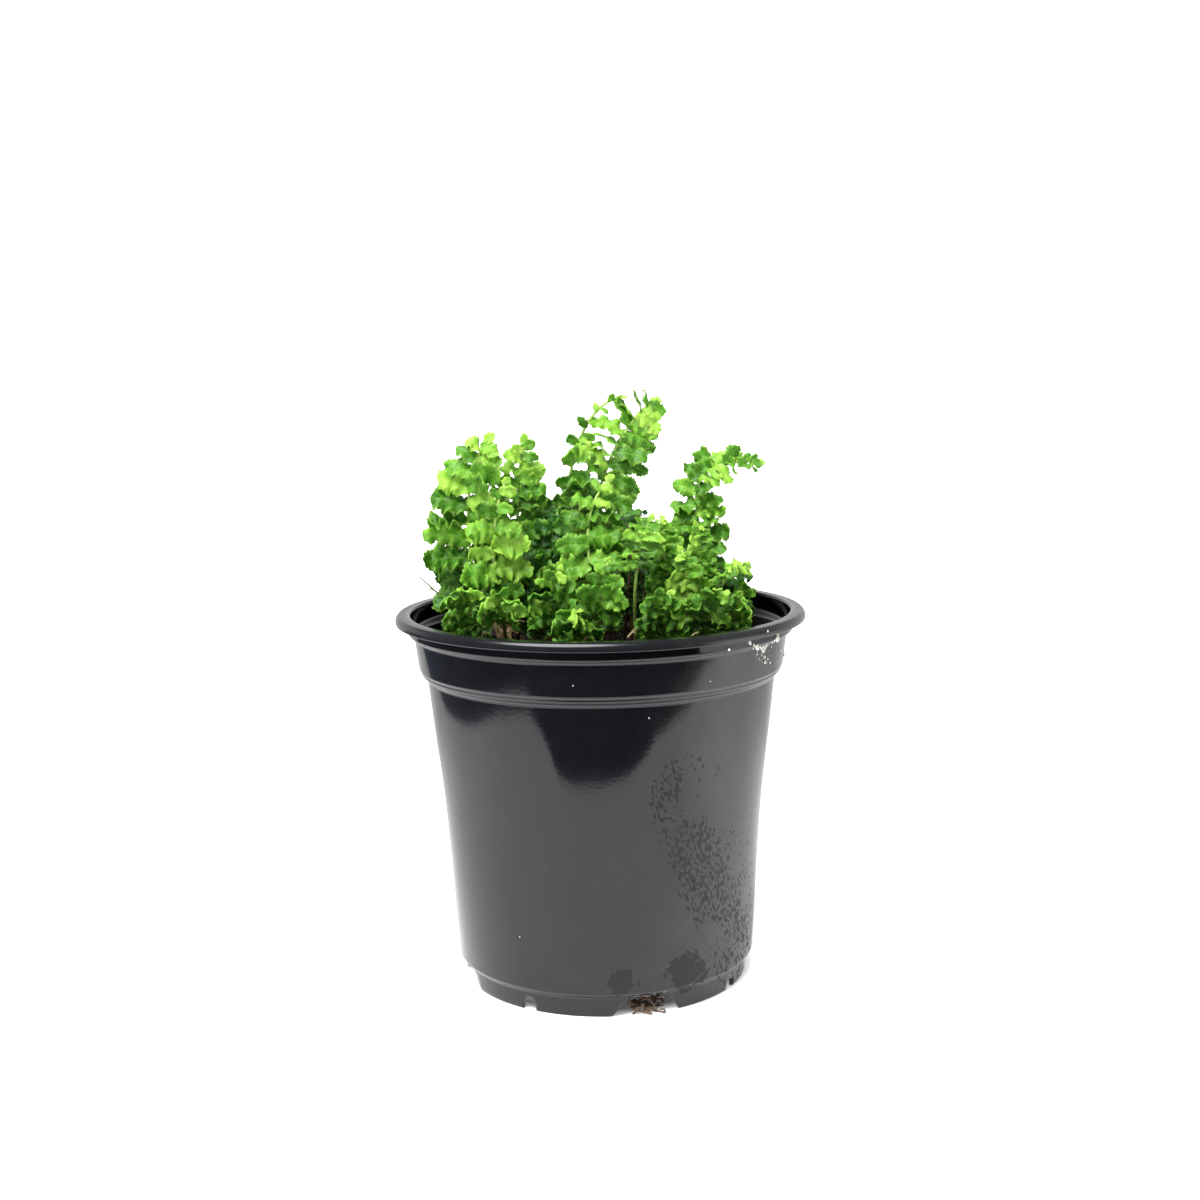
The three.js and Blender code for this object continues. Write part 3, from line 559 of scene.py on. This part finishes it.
# ---------------------------------------------------------------------------
# Fronds. Each is one grown piece: a thin arched stalk with ruffled, scalloped
# leaflets down both sides and one at its tip, standing in the potting mix.
# ---------------------------------------------------------------------------
STALK_FOOT = 126.0  # the height of its buried end
STALK_START = 138.0  # the height at which its midline starts
STALK_WIDTH = (1.6, 1.0)  # at its foot and at its tip
LEAN_FACE = (48, 108)  # how high the face of a leaning frond looks, at its root and at its tip
BLADE = 0.3
CROWD = 1.2  # leaflets stand closer together towards the tip
# The deep palette is a darker green for the fronds at the back: a painted shade, as they stand in the shade
# of the front ones.
FRESH, MIDDLE, SHADED_DEEP = "leaf_fresh", "leaf_mid", "leaf_deep"

# The sizes below are millimetres, as in the part: root, points at a third and two thirds, tip, the way
# the face looks (or None: up and in over the pot), longest leaflet, pairs, bare share, droop, twist (one
# for both sides, or left and right), frill and palette.
FRONDS = [
    ((-46, -6), (-50.5, -12, 169), (-50.5, -15, 198), (-43, -16, 219), (-108, 15),
     17, 11, 0.12, 44, (56, 20), 0.1, FRESH),
    ((-33, -9), (-32.5, -15, 168), (-31.5, -12, 196), (-29, -9, 218), (-70, 12),
     15, 13, 0.12, 30, 24, 0.1, FRESH),
    ((-24, 4), (-25, 5, 165), (-25.5, 4, 188), (-25, 3, 203), (-90, 10),
     7, 3, 0.66, 20, 20, 0.08, FRESH),
    ((-16, 6), (-14.5, 7, 176), (-8.5, 8, 214), (10, 8, 235), (-60, 25),
     8, 9, 0.3, 20, 20, 0.08, FRESH),
    ((-4, -6), (-3.5, -9, 176), (4, -2, 208), (22.5, 9, 232.5), (-62, 30),
     17, 14, 0.34, 32, (52, 12), 0.06, FRESH),
    ((1, -17), (-3, -21, 165), (-4, -19, 186), (4, -14, 203), (-95, 18),
     13.5, 7, 0.16, 30, 20, 0.1, FRESH),
    ((38, 2), (42.5, 4, 171), (40, 4, 198), (65, 4, 208), (-115, 25),
     11.2, 15, 0.24, 20, 26, 0.12, FRESH),
    ((27, -13), (27, -17, 157), (27, -18, 174), (25, -16, 187), (-112, 15),
     9.5, 13, 0.1, 30, 20, 0.13, FRESH),
    ((41, -9), (40, -13, 157), (39.5, -14, 173), (38.5, -12, 184), (-65, 15),
     9, 13, 0.1, 30, 20, 0.13, FRESH),
    ((44, -19), (46, -23, 158), (52, -24, 168), (58, -23, 167), None,
     9, 9, 0.24, 30, 10, 0.11, FRESH),
    ((-40, -16), (-41, -21, 161), (-40.5, -24, 184), (-36, -24, 203), (-85, 18),
     13, 7, 0.12, 30, 20, 0.1, FRESH),
    ((34, -21), (34, -25, 153), (34, -27, 166), (32, -27, 176), (-95, 20),
     9.5, 8, 0.1, 30, 20, 0.13, FRESH),
    ((14, -24), (13.5, -28, 156), (15, -29, 173), (20, -25, 189), (-90, 20),
     9, 7, 0.62, 30, 20, 0.12, FRESH),
    ((-19, -25), (-19, -31, 152), (-18, -36, 163), (-15, -40, 171), (-85, 25),
     11.5, 6, 0.2, 30, 15, 0.1, MIDDLE),
    ((1, -31), (0, -36, 153), (1, -41, 165), (3, -43, 174), (-90, 25),
     11, 6, 0.2, 30, 15, 0.1, MIDDLE),
    ((22, -36), (22, -41, 149), (23, -46, 158), (26, -50, 163), (-85, 25),
     10.5, 6, 0.15, 30, 15, 0.13, MIDDLE),
    ((38, -34), (40, -38, 149), (43, -42, 158), (47, -46, 162), (-75, 25),
     10.5, 6, 0.2, 30, 15, 0.13, MIDDLE),
    ((51, -8), (52.5, -10.5, 147), (54, -13, 155), (56, -16, 161), (-60, 30),
     9, 7, 0.2, 30, 15, 0.13, MIDDLE),
    ((-48, -21), (-49, -24, 149), (-51, -28, 158), (-53, -32, 163), (-115, 25),
     12, 6, 0.25, 30, 15, 0.1, MIDDLE),
    ((-36, -31), (-37, -36, 149), (-38, -42, 158), (-40, -47, 163), (-100, 25),
     12, 5, 0.45, 30, 15, 0.1, MIDDLE),
    ((-9, -43), (-10, -47, 148), (-10, -52, 155), (-8, -57, 158), (-90, 30),
     10.5, 5, 0.15, 30, 15, 0.1, MIDDLE),
    ((48, -25), (49, -28, 146), (51, -31, 153), (53.5, -34, 159), (-65, 30),
     9, 6, 0.25, 30, 15, 0.13, MIDDLE),
    ((-21, -8), (-20, -11, 158), (-19, -12, 176), (-16, -10, 190), (-80, 20),
     14, 9, 0.12, 35, 20, 0.09, SHADED_DEEP),
    ((-9, 14), (-9, 17, 164), (-8, 19, 186), (-5, 23, 201), (-90, 20),
     15, 9, 0.16, 35, 20, 0.09, SHADED_DEEP),
    ((13, 6), (13, 9, 160), (16, 14, 175), (21, 21, 182), (-80, 30),
     13, 9, 0.16, 35, 20, 0.09, SHADED_DEEP),
    ((29, 6), (30, 9, 157), (32, 13, 171), (35, 15, 181), (-85, 25),
     12, 9, 0.12, 35, 20, 0.09, SHADED_DEEP),
    ((25, 24), (29, 29, 155), (35, 37, 168), (43, 46, 170), None,
     13, 9, 0.16, 35, 10, 0.09, SHADED_DEEP),
    ((7, 28), (9, 36, 160), (12, 48, 177), (16, 60, 182), None,
     14, 9, 0.16, 35, 10, 0.09, SHADED_DEEP),
    ((-17, 30), (-19, 37, 161), (-23, 47, 179), (-29, 57, 186), None,
     14, 9, 0.16, 35, 10, 0.09, SHADED_DEEP),
    ((-37, 14), (-39, 20, 160), (-45, 28, 179), (-53, 36, 186), None,
     14, 9, 0.16, 35, 10, 0.09, SHADED_DEEP),
    ((-54, 5), (-57, 9, 154), (-61, 14, 167), (-66, 20, 171), None,
     12, 9, 0.14, 35, 10, 0.09, SHADED_DEEP),
    ((46, 15), (50, 19, 151), (55, 26, 160), (60, 33, 162), None,
     11, 8, 0.12, 30, 10, 0.09, SHADED_DEEP),
    ((-3, 46), (-4, 50, 150), (-6, 56, 159), (-8, 62, 161), None,
     12, 6, 0.12, 30, 10, 0.09, SHADED_DEEP),
    ((-35, 39), (-39, 43, 150), (-44, 48, 159), (-50, 54, 161), None,
     12, 6, 0.12, 30, 10, 0.09, SHADED_DEEP),
    ((26, 43), (29, 47, 149), (34, 52, 157), (39, 57, 160), None,
     12, 6, 0.12, 30, 10, 0.09, SHADED_DEEP),
]


class Midline:
    """The cubic curve that starts at the root and passes two points on its way to the tip."""

    def __init__(self, root, low, high, tip, face):
        start, low, high, tip = Vector((*root, STALK_START)), Vector(low), Vector(high), Vector(tip)
        self.handles = (start, (start * -5 + low * 18 - high * 9 + tip * 2) / 6,
                        (start * 2 - low * 9 + high * 18 - tip * 5) / 6, tip)
        self.inward = math.atan2(root[1] - tip.y, root[0] - tip.x)
        self.face = face
        self.lengths = [0.0]
        self.steps = 200
        for k in range(self.steps):
            step = self.at(k / self.steps) - self.at((k + 1) / self.steps)
            self.lengths.append(self.lengths[-1] + step.length)
        self.length = self.lengths[-1]

    def at(self, t):
        a, b, c, d = self.handles
        return a * (1 - t) ** 3 + b * 3 * t * (1 - t) ** 2 + c * 3 * t * t * (1 - t) + d * t ** 3

    def along(self, t):
        a, b, c, d = self.handles
        return ((b - a) * (1 - t) ** 2 + (c - b) * 2 * t * (1 - t) + (d - c) * t * t).normalized()

    def frame(self, share):
        """Place, tangent, face normal and side direction at a share of the length."""
        reach = share * self.length
        k = max(i for i in range(self.steps) if self.lengths[i] <= reach or i == 0)
        part = (reach - self.lengths[k]) / (self.lengths[k + 1] - self.lengths[k])
        t = (k + part) / self.steps
        tangent = self.along(t) if share > 0 else Vector((0, 0, 1))
        if self.face:
            azimuth, elevation = (math.radians(value) for value in self.face)
        else:
            azimuth = self.inward
            elevation = math.radians(LEAN_FACE[0] + (LEAN_FACE[1] - LEAN_FACE[0]) * share)
        look = Vector((math.cos(elevation) * math.cos(azimuth), math.cos(elevation) * math.sin(azimuth),
                       math.sin(elevation)))
        normal = (look - tangent * look.dot(tangent)).normalized()
        return self.at(t), tangent, normal, tangent.cross(normal)


def grow_leaflet(sheet, place, at, out, width, up, size, droop, frill, tone, seed):
    """One scalloped blade: it arches over, curls and rolls towards its end, and its edges wave."""
    draw = random.Random(seed)
    length, breadth = size
    teeth = max(3, round(length / 1.35))
    steps = 4 * teeth
    jitter = (Quaternion(up, math.radians(draw.uniform(-12, 12)))
              @ Quaternion(width, math.radians(draw.uniform(-14, 14)))
              @ Quaternion(out, math.radians(draw.uniform(-24, 24))))
    out, width, up = jitter @ out, jitter @ width, jitter @ up
    axis = out.cross(Vector((0, 0, -1)))
    axis = axis.normalized() if axis.length > 0.3 else -width
    bend, curl = math.radians(droop), math.radians(draw.uniform(-15, 60))
    roll = math.radians(draw.uniform(-40, 40))
    taper, waist, flare = draw.uniform(3.5, 8), draw.uniform(0.15, 0.35), draw.uniform(-0.1, 0.35)
    lobing, lobes = draw.uniform(0.08, 0.17), draw.uniform(1.8, 3.2)
    waves, frill = max(1.2, length / draw.uniform(4, 7)), frill * draw.uniform(0.7, 1.8)
    crease, cup = draw.uniform(-0.05, 0.2), draw.uniform(-0.1, 0.25)
    phases = [draw.random() for _ in range(4)]
    stations = []  # along the midrib: share of the length, place, and the blade's own directions there
    point = at.copy()
    for k in range(steps + 1):
        share = 1 - (1 - k / steps) ** 1.3
        turn = Quaternion(axis, bend * share + curl * share ** 3)
        rolled = turn @ Quaternion(out, roll * share)
        if k:
            point += (turn @ out) * (length * (share - stations[-1][0]))
        stations.append((share, point.copy(), rolled @ width, rolled @ up, turn @ out))
    for corner in bmesh.ops.create_grid(sheet, x_segments=steps, y_segments=4, size=1.0)["verts"]:
        k = round((corner.co.x / 2 + 0.5) * steps)
        across = corner.co.y
        share, centre, sideways, upward, forward = stations[k]
        hand = int(across > 0)
        edge = abs(across)
        body = min(1.0, waist + (1 - waist) * math.sin(min(1.0, 3 * share) * math.pi / 2))
        body *= (1 + flare * share) * math.sqrt(max(0.02, 1 - share ** taper))
        lobe = 1 + lobing * (2 * abs(math.sin(math.pi * (lobes * share + phases[hand]))) - 1.2)
        scallop = abs(math.sin(math.pi * k / 4)) ** 0.6
        tooth = 1 + 0.2 * (scallop - 0.7)
        half = breadth / 2 * body * lobe * tooth
        wave = frill * length * math.sin(math.tau * (waves * share + phases[2 + hand]))
        wave *= edge ** 1.4 * min(1.0, 4 * share)
        fold = breadth * (crease * edge - cup * edge ** 2)
        reach = 0.05 * breadth * scallop * share ** 8
        corner.co = centre + sideways * (across * half) + upward * (wave + fold) + forward * reach
        corner[place] = (share, across, tone)


def run_tube(sheet, poses, sides):
    """A closed round tube through a row of placing matrices."""
    ring = bmesh.ops.create_circle(sheet, cap_ends=True, segments=sides, radius=1.0, matrix=poses[0])["verts"]
    edges = list({edge for point in ring for edge in point.link_edges})
    faces = list({face for point in ring for face in point.link_faces})
    for before, after in zip(poses, poses[1:]):
        made = bmesh.ops.extrude_edge_only(sheet, edges=edges)["geom"]
        ring = [each for each in made if isinstance(each, bmesh.types.BMVert)]
        edges = [e for e in made if isinstance(e, bmesh.types.BMEdge) and all(v in ring for v in e.verts)]
        faces += [each for each in made if isinstance(each, bmesh.types.BMFace)]
        bmesh.ops.transform(sheet, matrix=after @ before.inverted(), verts=ring)
    faces += bmesh.ops.contextual_create(sheet, geom=edges)["faces"]
    bmesh.ops.recalc_face_normals(sheet, faces=faces)
    return faces


def grow_stalk(sheet, place, line, tone):
    """A tapering round stalk from its buried foot to the last leaflet."""
    stations = [line.frame(k / 22) for k in range(23)]
    at, _, normal, side = stations[0]
    stations.insert(0, (Vector((at.x, at.y, STALK_FOOT)), Vector((0, 0, 1)), normal, side))
    poses = []
    for k, (at, tangent, normal, side) in enumerate(stations):
        radius = (STALK_WIDTH[0] + (STALK_WIDTH[1] - STALK_WIDTH[0]) * k / len(stations)) / 2
        turn = Matrix((side * radius, normal * radius, tangent * radius)).transposed().to_4x4()
        poses.append(Matrix.Translation(at) @ turn)
    faces = run_tube(sheet, poses, 8)
    points = list({point for face in faces for point in face.verts})
    for face in faces:
        face.material_index = 1
        face.smooth = True
    for point in points:
        point[place] = (max(0.0, point.co.z - STALK_START) / 60, 0.0, tone)
    bmesh.ops.scale(sheet, vec=(0.001, 0.001, 0.001), verts=points)


def leaf_share(along):
    """How long a leaflet is for its place on the frond: longest below the middle, small at the tip."""
    return math.sin(math.pi * (0.3 + 0.62 * along)) ** 0.75


def grow_frond(index, row):
    """A frond's leaflets, thickened, and its stalk, in one mesh."""
    root, low, high, tip, face, leaf, pairs, bare, droop, twist, frill, _ = row
    line = Midline(root, low, high, tip, face)
    step = (1 - bare) / (pairs + 0.4)
    spacing = step * line.length
    twists = twist if isinstance(twist, tuple) else (twist, twist)
    sheet = bmesh.new()
    place = sheet.verts.layers.float_vector.new("leaf")
    for pair in range(pairs):
        along = pair / pairs
        for hand in (-1, 1):
            number = 2 * pair + (hand + 1) // 2
            draw = random.Random(index * 100 + number)
            climb = 1 - (1 - (pair + 0.5 + 0.16 * hand) / (pairs + 0.4)) ** CROWD
            at, tangent, normal, side = line.frame(bare + (1 - bare) * climb)
            forward = math.radians(12 + 26 * along)
            out = side * (hand * math.cos(forward)) + tangent * math.sin(forward)
            width = (tangent - out * tangent.dot(out)).normalized()
            raised = Quaternion(out.cross(normal), math.radians(8))
            turned_up = Quaternion(out, math.radians(-hand * twists[hand > 0] * draw.uniform(0.8, 1.2)))
            length = leaf * leaf_share((pair + 0.5) / pairs) * draw.uniform(0.85, 1.15)
            breadth = min(length * draw.uniform(0.52, 0.76), spacing * 1.5)
            tone = 0.28 + 0.4 * along + draw.uniform(-0.34, 0.3)
            at = at + normal * 0.6 - out * 0.7
            grow_leaflet(sheet, place, at, raised @ out, turned_up @ width, turned_up @ normal,
                         (length, breadth), droop * draw.uniform(0.8, 1.2), frill, tone, index * 100 + number)
    at, tangent, normal, side = line.frame(1.0)
    end = max(3.2, leaf * 0.3)
    grow_leaflet(sheet, place, at - tangent, tangent, -side, normal, (end, end * 0.8), droop * 0.5,
                 0.08, 0.85, index * 100 + 99)
    bmesh.ops.scale(sheet, vec=(0.001, 0.001, 0.001), verts=sheet.verts)
    grown = add_object(f"fern_frond_{index + 1:02d}", sheet, [])
    work_in(grown, "SOLIDIFY", thickness=BLADE / 1000, offset=0)
    sheet = bmesh.new()
    sheet.from_mesh(grown.data)
    grow_stalk(sheet, sheet.verts.layers.float_vector["leaf"], line, 0.5)
    sheet.to_mesh(grown.data)
    sheet.free()
    return grown


def leaf_skin_group():
    """How a leaflet's green varies: by leaflet, towards its edge, along its veins and in small blotches."""
    tree = bpy.data.node_groups.new("leaf_skin", "ShaderNodeTree")
    for name in ("Dark", "Middle", "Light"):
        tree.interface.new_socket(name, in_out="INPUT", socket_type="NodeSocketColor")
    tree.interface.new_socket("Colour", in_out="OUTPUT", socket_type="NodeSocketColor")
    tree.interface.new_socket("Height", in_out="OUTPUT", socket_type="NodeSocketFloat")
    tree.interface.new_socket("Blotches", in_out="OUTPUT", socket_type="NodeSocketFloat")
    greens = put(tree, "NodeGroupInput").outputs
    leaf = put(tree, "ShaderNodeAttribute", attribute_name="leaf").outputs["Vector"]
    along, across, tone = put(tree, "ShaderNodeSeparateXYZ", {"Vector": leaf}).outputs
    place = put(tree, "ShaderNodeTexCoord").outputs["Object"]
    blotch = put(tree, "ShaderNodeTexNoise", {"Vector": place, "Scale": 190.0, "Detail": 5.0}).outputs[0]
    aside = math_of(tree, "ABSOLUTE", across)
    slant = math_of(tree, "MULTIPLY_ADD", aside, -0.32, along)
    wave = math_of(tree, "SINE", math_of(tree, "MULTIPLY", slant, 38.0))
    midrib = between(tree, aside, 0.16, 0.02)
    veins = math_of(tree, "MAXIMUM", between(tree, wave, 0.55, 1.0), midrib)
    shift = math_of(tree, "MULTIPLY_ADD", blotch, 0.7, -0.35)
    age = math_of(tree, "ADD", tone, shift, clamp=True)
    green = mixed(tree, between(tree, age, 0.0, 0.55), greens["Dark"], greens["Middle"])
    green = mixed(tree, between(tree, age, 0.45, 1.0), green, greens["Light"])
    green = mixed(tree, between(tree, aside, 0.55, 1.0, 0.0, 0.28), green, greens["Light"])
    green = mixed(tree, math_of(tree, "MULTIPLY", veins, 0.16), green, greens["Light"])
    height = math_of(tree, "MULTIPLY_ADD", veins, -0.6, blotch)
    put(tree, "NodeGroupOutput", {"Colour": green, "Height": height, "Blotches": blotch})
    return tree


LEAF_SKIN = leaf_skin_group()


def make_leaf_material(name, dark, middle, light):
    """Thin, slightly waxy leaf that glows a little where light comes through it."""
    made, tree, shader = new_material(name)
    skin = put(tree, "ShaderNodeGroup", node_tree=LEAF_SKIN)
    for socket, colour in (("Dark", dark), ("Middle", middle), ("Light", light)):
        skin.inputs[socket].default_value = (*colour, 1.0)
    tree.links.new(skin.outputs["Colour"], shader.inputs["Base Color"])
    wax = between(tree, skin.outputs["Blotches"], 0.0, 1.0, 0.36, 0.56)
    tree.links.new(wax, shader.inputs["Roughness"])
    bump = put(tree, "ShaderNodeBump",
               {"Strength": 0.5, "Distance": 0.0004, "Height": skin.outputs["Height"]})
    tree.links.new(bump.outputs[0], shader.inputs["Normal"])
    shader.inputs["Specular IOR Level"].default_value = 0.28
    shader.inputs["Subsurface Weight"].default_value = 0.5
    shader.inputs["Subsurface Radius"].default_value = (0.5, 1.0, 0.15)
    shader.inputs["Subsurface Scale"].default_value = 0.001
    return made


def make_stalk_material():
    """Brown and scaly at the foot, then pale green."""
    made, tree, shader = new_material("frond_stalk")
    leaf = put(tree, "ShaderNodeAttribute", attribute_name="leaf").outputs["Vector"]
    up_the_stalk = put(tree, "ShaderNodeSeparateXYZ", {"Vector": leaf}).outputs["X"]
    place = put(tree, "ShaderNodeTexCoord").outputs["Object"]
    scales = put(tree, "ShaderNodeTexNoise", {"Vector": place, "Scale": 900.0, "Detail": 3.0}).outputs[0]
    climb = math_of(tree, "MULTIPLY_ADD", scales, 0.5, up_the_stalk)
    colour = ramp(tree, climb, (0.25, (0.07, 0.032, 0.012)), (0.48, (0.09, 0.13, 0.02)),
                  (0.85, (0.3, 0.46, 0.09)))
    tree.links.new(colour, shader.inputs["Base Color"])
    shader.inputs["Roughness"].default_value = 0.5
    bump = put(tree, "ShaderNodeBump", {"Strength": 0.5, "Distance": 0.0002, "Height": scales})
    tree.links.new(bump.outputs[0], shader.inputs["Normal"])
    return made


stalk_skin = make_stalk_material()
leaf_skins = {
    FRESH: make_leaf_material("fresh_leaf", (0.007, 0.064, 0.002), (0.084, 0.268, 0.013), (0.37, 0.6, 0.08)),
    MIDDLE: make_leaf_material("mid_leaf", (0.005, 0.05, 0.003), (0.068, 0.232, 0.012), (0.32, 0.56, 0.07)),
    # Painted shade: the deep leaf is the leaf green painted darker for the shaded back fronds.
    SHADED_DEEP: make_leaf_material("shaded_deep_leaf", (0.002, 0.022, 0.002), (0.014, 0.085, 0.006), (0.09, 0.24, 0.026)),
}
for index, row in enumerate(FRONDS):
    frond = grow_frond(index, row)
    frond.data.materials.append(leaf_skins[row[-1]])
    frond.data.materials.append(stalk_skin)
    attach(frond, "root")
    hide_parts(f"frond_{index + 1:02d}")

# ---------------------------------------------------------------------------
# Old growth. Dead stalks, straw-coloured stubs of cut fronds and dry twigs that
# stand in the mix, and fine brown roots that hang out of a drainage notch.
# ---------------------------------------------------------------------------
# Each line is a path in millimetres, its thickness at the start and its finish.
OLD_STALKS = [
    ([(-47, 3, 134), (-58, 1, 150), (-66.9, 0, 158.6), (-72.8, 0, 164)], 1.1, "twig"),
    ([(-62, 1, 154.5), (-67.5, 3, 158), (-71.5, 4, 160)], 0.7, "twig"),
    ([(-50.5, -12, 170), (-60, -7, 171.5), (-66, -3, 172.4), (-70.5, 0, 173.7)], 0.7, "twig"),
    ([(9, -8, 133), (10.5, -16, 150), (11.6, -22, 165), (12.6, -23, 182)], 1.3, "brown"),
    ([(5, -12, 133), (5.5, -20, 150), (7.2, -25, 168)], 1.1, "brown"),
    ([(12.4, -23, 179), (14, -24, 184.5), (12, -25, 186.5), (10.8, -24, 184)], 1.5, "brown"),
    ([(16, -10, 133), (18, -20, 152), (15, -26, 170), (10, -27, 174)], 0.9, "brown"),
    ([(-28, -6, 133), (-28, -16, 146), (-25, -20, 160)], 1.2, "brown"),
]
STRAW_PATCH = (-37.5, -25, 134)
CHIPS = [(10.3, -47, 147.5), (11.5, -46, 148.5), (-6, -52, 147.5), (34, -48, 147), (46, -22, 146)]
old_growth = {name: bmesh.new() for name in ("twig", "brown", "straw", "roots")}
draw = random.Random(31)


def lay_fibre(sheet, path, thickness, sides=6):
    """A thin bent stalk or root through a row of points, thinner at its end."""
    poses = [at + Vector([draw.uniform(-0.12, 0.12) * thickness for _ in range(3)])
             for at in curve_through(path, 4)]
    placed = []
    for k, at in enumerate(poses):
        ahead = poses[min(k + 1, len(poses) - 1)] - poses[max(k - 1, 0)]
        radius = thickness / 2 * (1 - 0.55 * k / len(poses))
        placed.append(Matrix.Translation(at) @ ahead.to_track_quat("Z", "Y").to_matrix().to_4x4()
                      @ Matrix.Scale(radius, 4))
    for face in run_tube(sheet, placed, sides):
        face.smooth = True


for path, thickness, finish in OLD_STALKS:
    lay_fibre(old_growth[finish], path, thickness)
for _ in range(26):
    foot = Vector((STRAW_PATCH[0] + draw.gauss(0, 3.2), STRAW_PATCH[1] + draw.gauss(0, 3), STRAW_PATCH[2]))
    lean = Vector((draw.gauss(0, 3), draw.gauss(-1, 2.4), draw.uniform(7, 16)))
    curl = Vector((draw.gauss(0, 2.2), draw.gauss(0, 1.6), draw.uniform(-2.5, 1.0)))
    stub = [foot, foot + lean * 0.6, foot + lean, foot + lean + curl]
    lay_fibre(old_growth["straw"], stub, draw.uniform(0.6, 1.3))
for x, y, z in CHIPS:
    chip = Vector((x, y, z - 1.5))
    lay_fibre(old_growth["straw"], [chip, chip + Vector((1.2, 0.3, 1.4)), chip + Vector((2.8, 0, 2.0))], 0.9)
for _ in range(46):
    x, y = draw.uniform(11, 20), draw.uniform(-54, -44)
    at = Vector((x, y, draw.uniform(0.6, 3.4) if draw.random() < 0.7 else 7))
    strand = [at]
    for _ in range(3):
        at = at + Vector((draw.gauss(0, 2.6), draw.gauss(-0.3, 1.8), draw.gauss(0, 1.1)))
        strand.append(Vector((max(9, min(22, at.x)), max(-56, at.y), max(0.5, min(7.4, at.z)))))
    lay_fibre(old_growth["roots"], strand, draw.uniform(0.4, 1.3), 5)
dry_skins = {"twig": make_soil_material("dry_twig", (0.06, 0.07, 0.02), (0.22, 0.24, 0.08), 300.0),
             "brown": make_soil_material("dead_stalk", (0.03, 0.012, 0.006), (0.13, 0.06, 0.03), 300.0),
             "straw": straw,
             "roots": make_soil_material("fine_roots", (0.02, 0.011, 0.007), (0.26, 0.175, 0.12), 420.0)}
for name, sheet in old_growth.items():
    bmesh.ops.scale(sheet, vec=(0.001, 0.001, 0.001), verts=sheet.verts)
    old = add_object(f"old_{name}", sheet, [dry_skins[name]])
    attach(old, "root")
